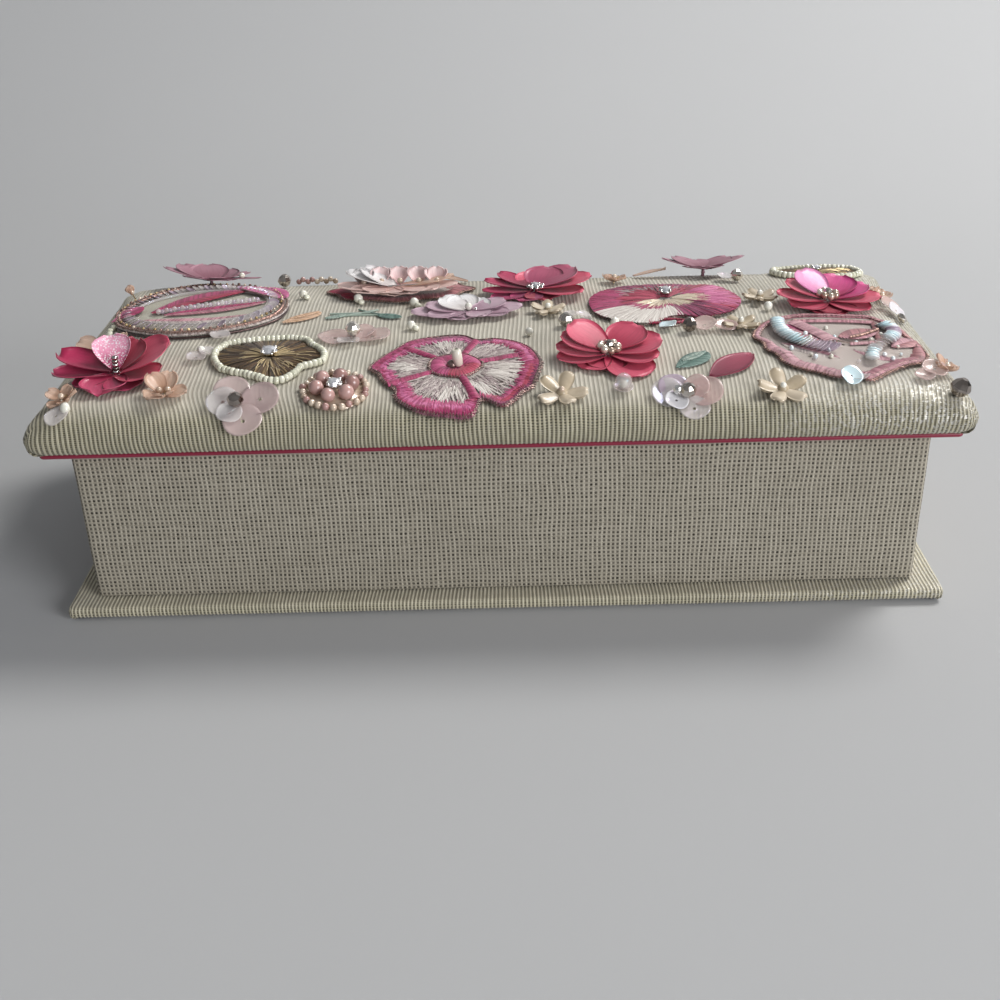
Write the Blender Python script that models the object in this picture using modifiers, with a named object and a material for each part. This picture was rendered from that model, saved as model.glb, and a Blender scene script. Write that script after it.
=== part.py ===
"""Keepsake box bound like a book: a linen tray in a gauze case, with a padded, trimmed lid.

Metres, +Z up. X runs along the box and +Y to its back. The origin lies on the floor, under
the middle of the closed case.
"""

import math

import bmesh
import bpy
from mathutils import Matrix, Vector

# Outer sizes
CASE_WIDTH = 0.250              # the lid, over its gauze
CASE_DEPTH = 0.113              # from the lid's front edge to the spine's outer face
BASE_SIDE_SETBACK = 0.0025      # from the lid's ends in to the base's
BASE_FRONT_SETBACK = 0.0011     # behind the lid's front edge
TRAY_SIDE_SETBACK = 0.0075      # from the base's ends in to the tray's
TRAY_FRONT_SETBACK = 0.0067     # behind the lid's front edge
TRAY_HEIGHT = 0.0449

# Boards, cards and cloths
BASE_BOARD_THICKNESS = 0.0020
BASE_LINING_THICKNESS = 0.0006
SPINE_BOARD_THICKNESS = 0.0020
WALL_BOARD_THICKNESS = 0.0020
FLOOR_BOARD_THICKNESS = 0.0020
LINING_CARD_THICKNESS = 0.0012
LID_BOARD_THICKNESS = 0.0024
LID_LINER_THICKNESS = 0.0016
GAUZE_THICKNESS = 0.0004
LINEN_THICKNESS = 0.0005
SILK_THICKNESS = 0.0004

# Fits
CLEARANCE = 0.0003              # between pieces that are glued or sewn together
HINGE_PLAY_BELOW = 0.0004       # from the hinge axis down to the spine's cloth
HINGE_PLAY_ABOVE = 0.00025      # from the hinge axis up to the lid's leaf

# Turn-ins, setbacks and corners
BASE_HEM = 0.014
BASE_LINING_SETBACK = 0.004
BASE_CORNER = 0.0010
LID_HEM = 0.012
LID_LINER_SETBACK = 0.0030
LID_LINER_CORNER = 0.0020
LID_BOARD_CORNER = 0.0025
TRAY_CORNER = 0.0010
TRAY_HEM = 0.008
TRAY_TURN_IN = 0.012
CLOTH_EDGE = 0.0005             # round of a cloth where it passes a board's edge
LINING_DROP = 0.0020            # from the tray's rim down to the lining cards
SPINE_SIDE_SETBACK = 0.0005     # from the base's ends in to the spine's cloth
SPINE_DROP = 0.0012             # from the hinge axis down to the spine board
SILK_STRIP_WIDTH = 0.008
SILK_STRIP_TUCK = 0.010
SILK_STRIP_END_GAP = 0.004

# The padded lid's section, from its widest line
LID_CORNER = 0.0040
LID_CORNER_GROWTH_SHARE = 1.6   # how fast the corner grows as the surface runs inwards
LID_END_STRAIGHT = 0.0020       # half of each end stays straight between its corners
LID_UNDERCUT = 0.0022           # the lid draws in this far below its widest line
LID_EDGE_DROP = 0.0038
LID_SHOULDER = 0.0080           # the lid draws in this far above its widest line
LID_SHOULDER_RISE = 0.0060
LID_CREST_INSET = 0.036         # from the lid's edge to its flat crest
LID_CROWN = 0.0020

# Trimmings: widths are across the motif, and thicknesses are of the cloth or bead work
PATCH_THICKNESS = 0.0010
PATCH_RIDGE = 0.0009            # how far a patch's border and its middle ring stand above it
PETAL_THICKNESS = 0.0004
PETAL_STEP = 0.0005             # each second petal of a flower starts this much higher
STEM_WIDTH = 0.0030
STEM_HEIGHT = 0.0030
STEM_FOOT = 0.0012              # from the seat up to the lowest petals
STEM_BESIDE_PATCH = 0.0016      # more stem, for petals that reach over a patch
SINK = 0.0003                   # how far joined beads and petals run into each other
WELD_DISTANCE = 0.00003
SEQUIN_WIDTH = 0.0060
SEQUIN_THICKNESS = 0.0003
SEQUIN_CUP = 0.0008
SEED_BEAD = 0.0017
SEED_BEAD_PITCH = 0.0024
BEAD_THREAD = 0.0009
BEAD_FILL_THICKNESS = 0.0008    # metallic thread inside a clover of beads
FELT_THICKNESS = 0.0008         # disc that clustered pearls are sewn to
BUGLE_WIDTH = 0.0022
BUGLE_HEIGHT = 0.0050
SMALL_PEARL = 0.0026
MIDDLE_PEARL = 0.0040
LARGE_PEARL = 0.0050
SILVER_BEAD = 0.0042
FACETED_BALL = 0.0053
CRYSTAL_WIDTH = 0.0036
CRYSTAL_HEIGHT = 0.0016
RESIN_THICKNESS = 0.0030
RESIN_DIMPLE = 0.0012
LEAF_THICKNESS = 0.0008

OVAL_PATCH = (0.054, 0.044)
FRONT_PATCH = (0.047, 0.044)
RIGHT_PATCH = (0.045, 0.038)
SHELL_PATCH = (0.048, 0.044)
BLUSH_PATCH = (0.047, 0.026)
CLOVER_LEFT = (0.0315, 0.0320)
CLOVER_RIGHT = (0.0300, 0.0160)
CORAL_LEFT = (0.0314, 0.0300)
CORAL_MIDDLE = (0.0290, 0.0270)
CORAL_RIGHT = (0.0280, 0.0250)
CRIMSON_FLOWER = (0.0320, 0.0220)
LILAC_FLOWER = (0.0286, 0.0180)
MAUVE_FLOWER = (0.0300, 0.0190)
SMALL_MAUVE_FLOWER = (0.0250, 0.0160)
BLUSH_FLOWER = (0.0390, 0.0230)
LARGE_RESIN = 0.0138
SMALL_RESIN = 0.0108
PEACH_RESIN = 0.0096
TINY_RESIN = 0.0062
CREAM_FLOWERS = (LARGE_RESIN, LARGE_RESIN, SMALL_RESIN, SMALL_RESIN, SMALL_RESIN)
PEACH_FLOWERS = (LARGE_RESIN, PEACH_RESIN, PEACH_RESIN, PEACH_RESIN, PEACH_RESIN, TINY_RESIN)
SPRIG = (0.022, 0.011)
PEACH_LEAF = (0.0115, 0.0100)
TEAL_LEAF = (0.0096, 0.0050)
PINK_LEAF = (0.0140, 0.0060)

# Places on the lid, as shares of its half width and half depth from its middle
PETAL_FLOWER_PLACE_SHARES = {
    "mauve_flower_back_left": (-0.757, 0.820),
    "coral_flower_left": (-0.831, -0.534),
    "lilac_flower": (-0.067, 0.149),
    "crimson_flower": (0.093, 0.474),
    "mauve_flower_back_right": (0.532, 0.803),
    "coral_flower_right": (0.790, 0.187),
    "coral_flower_middle": (0.246, -0.486),
    "blush_flower": (-0.253, 0.590),
}
PATCH_PLACE_SHARES = {
    "embroidery_oval": (-0.733, 0.348),
    "embroidery_flower_front": (-0.088, -0.558),
    "embroidery_flower_right": (0.405, 0.273),
    "embroidery_shell": (0.765, -0.408),
    "embroidery_blush": (-0.247, 0.590),
}
LEAF_PLACE_SHARES = {
    "sprig_teal": (-0.332, 0.182),
    "leaf_peach": (-0.475, 0.157),
    "leaf_teal": (0.424, -0.558),
    "leaf_pink": (0.503, -0.631),
}
LEAF_TURN_SHARES = {
    "sprig_teal": 0.02,
    "leaf_peach": 0.09,
    "leaf_teal": 0.08,
    "leaf_pink": 0.04,
}
CLOVER_LEFT_PLACE_SHARES = (-0.510, -0.405)
CLOVER_RIGHT_PLACE_SHARES = (0.820, 0.770)
PEARL_CLUSTER_PLACE_SHARES = (-0.347, -0.759)
SEQUIN_FLOWER_PLACE_SHARES = {
    "sequin_flower_mauve": (-0.548, -0.875),
    "sequin_flower_pink": (-0.333, -0.176),
    "sequin_flower_white": (0.398, -0.885),
}
CREAM_FLOWER_PLACE_SHARES = (
    (0.590, -0.849), (0.129, -0.843), (0.632, 0.271), (0.556, -0.137), (0.116, 0.146),
)
PEACH_FLOWER_PLACE_SHARES = (
    (-0.714, -0.780), (-0.926, -0.795), (0.293, 0.690), (0.929, 0.333), (0.948, -0.688),
    (-0.924, 0.569),
)
PEARL_PLACE_SHARES = (0.265, -0.800)
SILVER_BEAD_PLACE_SHARES = (0.159, -0.060)
FACETED_BALL_PLACE_SHARES = (0.950, -0.885)

# Petals round each flower: the turn from +X, as a share of a full one, then the length and
# the width, as shares of the flower's half width, and the rise, as a share of the length
PETAL_SHARES = {
    "mauve_flower_back_left": (
        (0.51, 0.95, 0.60, 0.30), (0.37, 0.90, 0.80, 0.24), (0.24, 0.85, 0.80, 0.20),
        (0.12, 0.95, 0.80, 0.14), (0.01, 1.00, 0.60, 0.10), (0.63, 0.80, 0.70, 0.20),
        (0.87, 0.80, 0.70, 0.12),
    ),
    "coral_flower_left": (
        (0.27, 0.66, 0.55, 0.42), (0.06, 0.98, 0.90, 0.22), (0.96, 0.85, 0.80, 0.10),
        (0.77, 0.78, 0.80, 0.04), (0.67, 0.86, 0.80, 0.04), (0.58, 0.98, 0.62, 0.05),
        (0.49, 1.00, 0.62, 0.14),
    ),
    "lilac_flower": (
        (0.51, 1.00, 0.60, 0.12), (0.59, 0.85, 0.55, 0.04), (0.33, 0.75, 0.75, 0.16),
        (0.17, 0.80, 0.70, 0.14), (0.02, 0.95, 0.55, 0.10), (0.93, 0.85, 0.55, 0.04),
        (0.76, 0.62, 0.80, 0.03),
    ),
    "crimson_flower": (
        (0.22, 0.74, 0.75, 0.18), (0.11, 0.95, 0.80, 0.17), (0.01, 1.00, 0.66, 0.10),
        (0.36, 0.74, 0.62, 0.20), (0.45, 0.88, 0.42, 0.18), (0.52, 1.00, 0.45, 0.10),
        (0.59, 0.95, 0.45, 0.04), (0.70, 0.82, 0.62, 0.03), (0.88, 0.82, 0.62, 0.05),
    ),
    "mauve_flower_back_right": (
        (0.49, 1.00, 0.60, 0.32), (0.36, 0.90, 0.80, 0.22), (0.24, 0.80, 0.80, 0.16),
        (0.13, 0.90, 0.80, 0.22), (0.01, 1.00, 0.60, 0.32), (0.65, 0.70, 0.80, 0.12),
        (0.85, 0.70, 0.80, 0.12),
    ),
    "coral_flower_right": (
        (0.34, 0.86, 0.82, 0.30), (0.14, 0.90, 0.80, 0.18), (0.02, 1.00, 0.72, 0.10),
        (0.92, 0.90, 0.72, 0.05), (0.43, 0.95, 0.58, 0.20), (0.51, 1.00, 0.62, 0.08),
        (0.62, 0.86, 0.72, 0.04), (0.79, 0.74, 0.82, 0.04),
    ),
    "coral_flower_middle": (
        (0.42, 0.92, 0.80, 0.36), (0.49, 0.98, 0.66, 0.22), (0.57, 1.00, 0.62, 0.08),
        (0.15, 0.88, 0.80, 0.20), (0.03, 0.98, 0.80, 0.12), (0.92, 0.96, 0.80, 0.05),
        (0.80, 0.80, 0.76, 0.03), (0.67, 0.84, 0.76, 0.04),
    ),
    "blush_flower": (
        (0.48, 1.00, 0.50, 0.12), (0.57, 0.92, 0.55, 0.04), (0.68, 0.80, 0.66, 0.03),
        (0.82, 0.82, 0.66, 0.03), (0.94, 1.00, 0.55, 0.04),
    ),
}

# The row of small petals that stands across the blush flower, as shares of its half width:
# the band's half length, half depth and half height, then the row's half length, height,
# lean and half thickness
BLUSH_ROW_MIDDLE_SHARES = (0.03, 0.10)
BLUSH_BAND_SHARES = (0.88, 0.17, 0.06)
BLUSH_ROW_SHARES = (0.80, 0.28, 0.10, 0.015)

# Lobes round each patch: the turn, as a share of a full one, and the reach, as a share of
# the patch's half width and half depth
LOBE_SHARES = {
    "embroidery_oval": (
        (0.00, 1.00), (0.14, 0.97), (0.27, 1.00), (0.38, 0.96), (0.50, 1.00), (0.63, 0.96),
        (0.77, 1.00), (0.89, 0.96),
    ),
    "embroidery_flower_front": (
        (0.50, 1.00), (0.31, 0.96), (0.14, 1.00), (0.98, 0.96), (0.85, 1.00), (0.69, 1.00),
    ),
    "embroidery_flower_right": (
        (0.00, 1.00), (0.15, 0.94), (0.31, 0.98), (0.50, 1.00), (0.65, 0.94), (0.82, 0.98),
    ),
    "embroidery_shell": (
        (0.04, 1.00), (0.16, 0.98), (0.33, 1.00), (0.47, 1.00), (0.60, 0.97), (0.74, 1.00),
        (0.88, 0.98),
    ),
    "embroidery_blush": (
        (0.00, 1.00), (0.12, 0.96), (0.25, 1.00), (0.38, 0.96), (0.50, 1.00), (0.62, 0.98),
        (0.75, 1.00), (0.88, 0.98),
    ),
}

# Sequins round each bead: the turn, and the width as a share of a sequin's
SEQUIN_SHARES = {
    "sequin_flower_mauve": ((0.36, 1.50), (0.06, 1.55), (0.70, 1.10), (0.86, 1.00)),
    "sequin_flower_pink": ((0.48, 1.50), (0.02, 1.55), (0.22, 1.20), (0.72, 1.10)),
    "sequin_flower_white": ((0.37, 1.25), (0.54, 1.20), (0.70, 0.95), (0.86, 0.90), (0.06, 1.10)),
}

# Shapes that the sizes above scale
PETAL_SIDES = 8
PETAL_BANDS = 4
PETAL_ROOT_SHARE = 0.6          # a petal's width at its root, to its full width
PETAL_BOW_SHARE = 0.07          # how far a petal's sides rise, to its length
PATCH_SIDES = 32
PATCH_BANDS = 8
PATCH_NOTCH_SHARE = 0.12        # how far a patch draws in between two lobes
PATCH_RING_SHARE = 0.38         # where the middle ring stands, from the middle out
PATCH_BORDER_SHARE = 0.92       # where the border stands
CLOVER_SIDES = 24
CLOVER_LOBES = 4
CLOVER_DEPTH_SHARE = 0.15
STRING_SIDES = 4
CLUSTER_PEARLS = 6
CLUSTER_TURN_SHARE = 0.2        # turn of a cluster's first pearl, to the step between two
STEM_SIDES = 8
CRYSTAL_SIDES = 8
CRYSTAL_TOP_SHARE = 0.5
FELT_SIDES = 24
RESIN_LOBES = 5
RESIN_SIDES = 20
RESIN_BANDS = 4
RESIN_NOTCH_SHARE = 0.42
RESIN_FALL_SHARE = 0.35         # how far a moulded flower falls towards its edge
RESIN_RIM_SHARE = 0.33          # where its rim is, to its thickness
LEAF_SIDES = 12
LEAF_BANDS = 4
LEAF_SLIM_SHARE = 0.35          # how much narrower a leaf is at its tips
SEAT_TESTS = 8
WALK_STEPS = 720
INSET_STEPS = 30
CORNER_STEPS = 4
CLOTH_CORNER_STEPS = 2
SECTION_STEPS = 4


# Levels, from the floor up
BASE_HEM_LEVEL = BASE_LINING_THICKNESS + CLEARANCE
BASE_BOARD_LEVEL = BASE_HEM_LEVEL + GAUZE_THICKNESS + CLEARANCE
BASE_TOP_LEVEL = BASE_BOARD_LEVEL + BASE_BOARD_THICKNESS + CLEARANCE + GAUZE_THICKNESS
TRAY_LEVEL = BASE_TOP_LEVEL + CLEARANCE
FLOOR_BOARD_LEVEL = TRAY_LEVEL + LINEN_THICKNESS + CLEARANCE
LINING_LEVEL = FLOOR_BOARD_LEVEL + FLOOR_BOARD_THICKNESS + CLEARANCE
RIM_LEVEL = TRAY_LEVEL + TRAY_HEIGHT
WALL_TOP_LEVEL = RIM_LEVEL - LINEN_THICKNESS - CLEARANCE
LINING_TOP_LEVEL = RIM_LEVEL - LINING_DROP
LINER_LEVEL = RIM_LEVEL + CLEARANCE
LID_HEM_LEVEL = LINER_LEVEL + LID_LINER_THICKNESS + CLEARANCE
LID_BOARD_LEVEL = LID_HEM_LEVEL + GAUZE_THICKNESS + CLEARANCE
WADDING_LEVEL = LID_BOARD_LEVEL + LID_BOARD_THICKNESS + CLEARANCE
LID_WIDEST_LEVEL = LID_HEM_LEVEL + LID_EDGE_DROP
LID_SHOULDER_LEVEL = LID_WIDEST_LEVEL + LID_SHOULDER_RISE

# Widths that follow the lid's
BASE_WIDTH = CASE_WIDTH - 2 * BASE_SIDE_SETBACK
TRAY_WIDTH = BASE_WIDTH - 2 * TRAY_SIDE_SETBACK

# Faces, from the front back
FRONT_FACE = -CASE_DEPTH / 2
BACK_FACE = CASE_DEPTH / 2
LID_BACK = BACK_FACE - CLEARANCE
LID_HALF_WIDTH = CASE_WIDTH / 2
LID_HALF_DEPTH = (LID_BACK - FRONT_FACE) / 2
LID_MIDDLE = (LID_BACK + FRONT_FACE) / 2
SPINE_CLOTH_INNER = BACK_FACE - GAUZE_THICKNESS
SPINE_BOARD_BACK = SPINE_CLOTH_INNER - CLEARANCE
SPINE_BOARD_FRONT = SPINE_BOARD_BACK - SPINE_BOARD_THICKNESS
TRAY_BACK = SPINE_BOARD_FRONT - CLEARANCE
TRAY_FRONT = FRONT_FACE + TRAY_FRONT_SETBACK
TRAY_HALF_DEPTH = (TRAY_BACK - TRAY_FRONT) / 2
TRAY_MIDDLE = (TRAY_BACK + TRAY_FRONT) / 2
BASE_BACK = SPINE_CLOTH_INNER - CLEARANCE
BASE_FRONT = FRONT_FACE + BASE_FRONT_SETBACK
BASE_HALF_DEPTH = (BASE_BACK - BASE_FRONT) / 2
BASE_MIDDLE = (BASE_BACK + BASE_FRONT) / 2

# Insets from the tray's outer face to the pieces inside it
WALL_INSET = LINEN_THICKNESS + CLEARANCE
RIM_WIDTH = 2 * WALL_INSET + WALL_BOARD_THICKNESS
LINING_INSET = RIM_WIDTH + CLEARANCE
BACK_LINING_INSET = LINING_INSET + SILK_THICKNESS + CLEARANCE

# The hinge runs along the middle of the spine's cloth, which ends level with the rim
HINGE_Y = BACK_FACE - GAUZE_THICKNESS / 2
HINGE_Z = RIM_LEVEL + HINGE_PLAY_BELOW


def clear_scene():
    """Remove what the file already holds."""
    for item in list(bpy.data.objects):
        bpy.data.objects.remove(item, do_unlink=True)


def new_collection(name):
    """Make a collection in the scene."""
    collection = bpy.data.collections.new(name)
    bpy.context.scene.collection.children.link(collection)
    return collection


def new_finish(name, color, roughness, metallic=0.0):
    """Make a Principled material."""
    material = bpy.data.materials.new(name)
    material.use_nodes = True
    shader = material.node_tree.nodes["Principled BSDF"]
    shader.inputs["Base Color"].default_value = (*color, 1.0)
    shader.inputs["Roughness"].default_value = roughness
    shader.inputs["Metallic"].default_value = metallic
    material.diffuse_color = (*color, 1.0)
    return material


def add_piece(name, bm, finish, carrier=None, location=(0.0, 0.0, 0.0), lean=None):
    """Turn a bmesh into a named object, carried by an empty if it moves."""
    mesh = bpy.data.meshes.new(name)
    bmesh.ops.recalc_face_normals(bm, faces=bm.faces)
    bm.to_mesh(mesh)
    bm.free()
    mesh.materials.append(FINISHES[finish])
    piece = bpy.data.objects.new(name, mesh)
    piece.location = location
    piece.rotation_euler = lean.to_euler() if lean else (0.0, 0.0, 0.0)
    PARTS.objects.link(piece)
    if carrier:
        piece.parent = carrier
        piece.matrix_parent_inverse = Matrix.Translation(carrier.location).inverted()
    return piece


def add_fused(name, bm, core, finish, carrier, location, lean=None):
    """Join shapes that run into one another, and a core that they all meet, into one body."""
    piece = add_piece(name, bm, finish, carrier, location, lean)
    mesh = bpy.data.meshes.new(name + "_core")
    bmesh.ops.recalc_face_normals(core, faces=core.faces)
    core.to_mesh(mesh)
    core.free()
    tool = bpy.data.objects.new(name + "_core", mesh)
    tool.location = location
    tool.rotation_euler = piece.rotation_euler
    tool.hide_render = True
    tool.display_type = "WIRE"
    CORES.objects.link(tool)
    join = piece.modifiers.new("join", "BOOLEAN")
    join.operation = "UNION"
    join.solver = "EXACT"
    join.use_self = True
    join.object = tool
    return piece


def add_block(name, finish, low, high, carrier=None):
    """A board or card between two corners."""
    size = Vector(high) - Vector(low)
    bm = bmesh.new()
    bmesh.ops.create_cube(bm, size=1.0, matrix=Matrix.Diagonal((*size, 1.0)))
    return add_piece(name, bm, finish, carrier, (Vector(low) + Vector(high)) / 2)


def rounded_ring(half_width, half_depth, radius, middle, level, steps):
    """Points round a rectangle with round corners, counter-clockwise from above."""
    points = []
    for quarter in range(4):
        side_x = 1 if quarter in (0, 3) else -1
        side_y = 1 if quarter in (0, 1) else -1
        for step in range(steps + 1):
            angle = math.radians(90) * (quarter + step / steps)
            x = side_x * (half_width - radius) + radius * math.cos(angle)
            y = side_y * (half_depth - radius) + radius * math.sin(angle)
            points.append(Vector((x, middle + y, level)))
    return points


def loft(rings, floor=False, roof=False):
    """Skin between rings of the same count, with flat ends where they are asked for."""
    bm = bmesh.new()
    rows = [[bm.verts.new(point) for point in ring] for ring in rings]
    count = len(rings[0])
    for row, above in zip(rows, rows[1:]):
        for index in range(count):
            following = (index + 1) % count
            bm.faces.new((row[index], row[following], above[following], above[index]))
    if floor:
        bm.faces.new(list(reversed(rows[0])))
    if roof:
        bm.faces.new(rows[-1])
    return bm


def add_cloth(name, bm, finish, thickness, carrier=None):
    """An open surface thickened inwards, as cloth over a board."""
    mesh = bpy.data.meshes.new(name)
    bm.to_mesh(mesh)
    bm.free()
    mesh.materials.append(FINISHES[finish])
    piece = bpy.data.objects.new(name, mesh)
    PARTS.objects.link(piece)
    shell = piece.modifiers.new("cloth", "SOLIDIFY")
    shell.thickness = thickness
    shell.offset = -1.0
    shell.use_even_offset = True
    if carrier:
        piece.parent = carrier
        piece.matrix_parent_inverse = Matrix.Translation(carrier.location).inverted()
    return piece


def frame_rings(profile, half_width, half_depth, corner, middle):
    """Rings round a rectangle for a section of (inset, level) points."""
    rings = []
    for inset, level in profile:
        radius = max(corner - inset, CLOTH_EDGE)
        rings.append(rounded_ring(half_width - inset, half_depth - inset, radius, middle,
                                  level, CLOTH_CORNER_STEPS))
    return rings


def add_band(name, finish, points, span, along_x, thickness, carrier=None):
    """A strip of cloth: an open line of points drawn out along X or up, then thickened."""
    bm = bmesh.new()
    low, high = span
    rows = []
    for first, second in points:
        if along_x:
            ends = ((low, first, second), (high, first, second))
        else:
            ends = ((first, second, low), (first, second, high))
        rows.append([bm.verts.new(end) for end in ends])
    for row, following in zip(rows, rows[1:]):
        bm.faces.new((row[0], following[0], following[1], row[1]))
    return add_cloth(name, bm, finish, thickness, carrier)


# The lid's surface

def lid_corner_radius(inset):
    """Corner radius of the lid's outline where it has drawn in by inset."""
    largest = LID_HALF_DEPTH - LID_END_STRAIGHT - inset
    return min(LID_CORNER + LID_CORNER_GROWTH_SHARE * inset, largest)


def lid_section(depth):
    """(inset, level) points of the lid's side and top, this far under its outer face."""
    points = []
    for step in range(SECTION_STEPS, 0, -1):
        angle = math.radians(90) * step / SECTION_STEPS
        points.append((LID_UNDERCUT - (LID_UNDERCUT - depth) * math.cos(angle),
                       LID_WIDEST_LEVEL - (LID_EDGE_DROP - depth) * math.sin(angle)))
    points.append((depth, LID_WIDEST_LEVEL))
    return points + lid_top_section(depth)


def lid_top_section(depth):
    """The part of the section above the lid's widest line."""
    points = []
    for step in range(1, SECTION_STEPS + 1):
        angle = math.radians(90) * step / SECTION_STEPS
        points.append((LID_SHOULDER - (LID_SHOULDER - depth) * math.cos(angle),
                       LID_WIDEST_LEVEL + (LID_SHOULDER_RISE - depth) * math.sin(angle)))
    for step in range(1, SECTION_STEPS + 1):
        share = step / SECTION_STEPS
        points.append((LID_SHOULDER + share * (LID_CREST_INSET - LID_SHOULDER),
                       LID_SHOULDER_LEVEL - depth + LID_CROWN * math.sin(math.radians(90) * share)))
    return points


def lid_rings(section):
    """Rings of the lid for a section of (inset, level) points."""
    return [rounded_ring(LID_HALF_WIDTH - inset, LID_HALF_DEPTH - inset,
                         lid_corner_radius(inset), LID_MIDDLE, level, CORNER_STEPS)
            for inset, level in section]


def lid_inset(x, y):
    """How far the lid's outline must draw in to pass through a place."""
    low, high = 0.0, LID_CREST_INSET
    for _ in range(INSET_STEPS):
        inset = (low + high) / 2
        radius = lid_corner_radius(inset)
        past_x = abs(x) - (LID_HALF_WIDTH - inset - radius)
        past_y = abs(y - LID_MIDDLE) - (LID_HALF_DEPTH - inset - radius)
        reach = math.hypot(max(past_x, 0.0), max(past_y, 0.0)) + min(max(past_x, past_y), 0.0)
        if reach > radius:
            high = inset
        else:
            low = inset
    return (low + high) / 2


def lid_height(x, y):
    """Level of the lid's outer face at a place."""
    inset = lid_inset(x, y)
    if inset < LID_SHOULDER:
        angle = math.acos(1.0 - inset / LID_SHOULDER)
        return LID_WIDEST_LEVEL + LID_SHOULDER_RISE * math.sin(angle)
    share = (inset - LID_SHOULDER) / (LID_CREST_INSET - LID_SHOULDER)
    return LID_SHOULDER_LEVEL + LID_CROWN * math.sin(math.radians(90) * share)


def on_lid(x, y, height=0.0):
    """Point this far off the lid's outer face, square to it."""
    return Vector((x, y, lid_height(x, y))) + height * lid_normal(x, y)


def lid_normal(x, y):
    """Direction square to the lid's outer face."""
    reach = CLEARANCE
    slope_x = (lid_height(x + reach, y) - lid_height(x - reach, y)) / (2 * reach)
    slope_y = (lid_height(x, y + reach) - lid_height(x, y - reach)) / (2 * reach)
    return Vector((-slope_x, -slope_y, 1.0)).normalized()


def lid_place(shares):
    """(x, y) of a place given in shares of the lid."""
    return shares[0] * LID_HALF_WIDTH, LID_MIDDLE + shares[1] * LID_HALF_DEPTH


def seat(shares, radius=0.0):
    """Place on the lid with the level that an upright foot of this radius rests on."""
    x, y = lid_place(shares)
    levels = [lid_height(x, y)]
    for step in range(SEAT_TESTS):
        angle = math.tau * step / SEAT_TESTS
        levels.append(lid_height(x + radius * math.cos(angle), y + radius * math.sin(angle)))
    return Vector((x, y, max(levels) + CLEARANCE))


def leaning_seat(shares):
    """Place on the lid and the turn of a flat foot that lies against its slope."""
    x, y = lid_place(shares)
    return on_lid(x, y, CLEARANCE), Vector((0.0, 0.0, 1.0)).rotation_difference(lid_normal(x, y))


# Shapes that the trimmings share

def add_pad(bm, sides, bands, shape):
    """A closed pad from a sphere; shape(along, across, side) gives each point."""
    made = bmesh.ops.create_uvsphere(bm, u_segments=sides, v_segments=bands, radius=1.0)
    tolerance = 0.5 / bands
    for vert in made["verts"]:
        side = 0 if abs(vert.co.z) < tolerance else math.copysign(1, vert.co.z)
        vert.co = shape(vert.co.x, vert.co.y, side)


def add_ball(bm, centre, width, detail=1):
    """A pearl or bead."""
    bmesh.ops.create_icosphere(bm, subdivisions=detail, radius=width / 2,
                               matrix=Matrix.Translation(centre))


def add_crystal(bm, foot):
    """A cut stone, wide at its foot."""
    centre = foot + Vector((0.0, 0.0, CRYSTAL_HEIGHT / 2))
    bmesh.ops.create_cone(bm, cap_ends=True, segments=CRYSTAL_SIDES, radius1=CRYSTAL_WIDTH / 2,
                          radius2=CRYSTAL_TOP_SHARE * CRYSTAL_WIDTH / 2, depth=CRYSTAL_HEIGHT,
                          matrix=Matrix.Translation(centre))


def add_stub(bm, foot, width, height, sides):
    """An upright stem, bead or disc."""
    centre = foot + Vector((0.0, 0.0, height / 2))
    bmesh.ops.create_cone(bm, cap_ends=True, segments=sides, radius1=width / 2,
                          radius2=width / 2, depth=height, matrix=Matrix.Translation(centre))


def add_sequin(bm, foot, width):
    """A cupped sequin, hollow side up."""

    def shape(along, across, side):
        lift = SEQUIN_CUP * (along ** 2 + across ** 2) + SEQUIN_THICKNESS * (1 + side) / 2
        return foot + Vector((along * width / 2, across * width / 2, lift))

    add_pad(bm, PETAL_SIDES, PETAL_BANDS, shape)


def add_petal(bm, root, size, shares):
    """One petal from its root outwards; size is the flower's width and depth."""
    turn_share, length_share, width_share, rise_share = shares
    inner = STEM_WIDTH / 2 - SINK
    length = length_share * size[0] / 2 - inner
    width = width_share * size[0] / 2
    squeeze = size[1] / size[0]
    turn = math.tau * turn_share

    def shape(along, across, side):
        share = (along + 1) / 2
        far = inner + length * share
        wide = across * width / 2 * (PETAL_ROOT_SHARE + (1 - PETAL_ROOT_SHARE) * share)
        x = far * math.cos(turn) - wide * math.sin(turn)
        y = far * math.sin(turn) + wide * math.cos(turn)
        lift = length * (rise_share * share + PETAL_BOW_SHARE * across ** 2)
        return root + Vector((x, y * squeeze, lift + side * PETAL_THICKNESS / 2))

    add_pad(bm, PETAL_SIDES, PETAL_BANDS, shape)


# The case

def make_base():
    """Base board, its gauze and the lining that it stands on."""
    half_width = BASE_WIDTH / 2
    inset = GAUZE_THICKNESS + CLEARANCE
    add_block("base_board", "grey board",
              (-half_width + inset, BASE_FRONT + inset, BASE_BOARD_LEVEL),
              (half_width - inset, BASE_BACK - inset, BASE_BOARD_LEVEL + BASE_BOARD_THICKNESS))
    section = [(BASE_HEM, BASE_HEM_LEVEL), (CLOTH_EDGE, BASE_HEM_LEVEL),
               (0.0, BASE_HEM_LEVEL + CLOTH_EDGE), (0.0, BASE_TOP_LEVEL - CLOTH_EDGE),
               (CLOTH_EDGE, BASE_TOP_LEVEL)]
    rings = frame_rings(section, half_width, BASE_HALF_DEPTH, BASE_CORNER, BASE_MIDDLE)
    add_cloth("base_cover", loft(rings, roof=True), "ribbed gauze", GAUZE_THICKNESS)
    setback = BASE_LINING_SETBACK
    add_block("base_lining", "lining paper",
              (-half_width + setback, BASE_FRONT + setback, 0.0),
              (half_width - setback, BASE_BACK - setback, BASE_LINING_THICKNESS))


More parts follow.
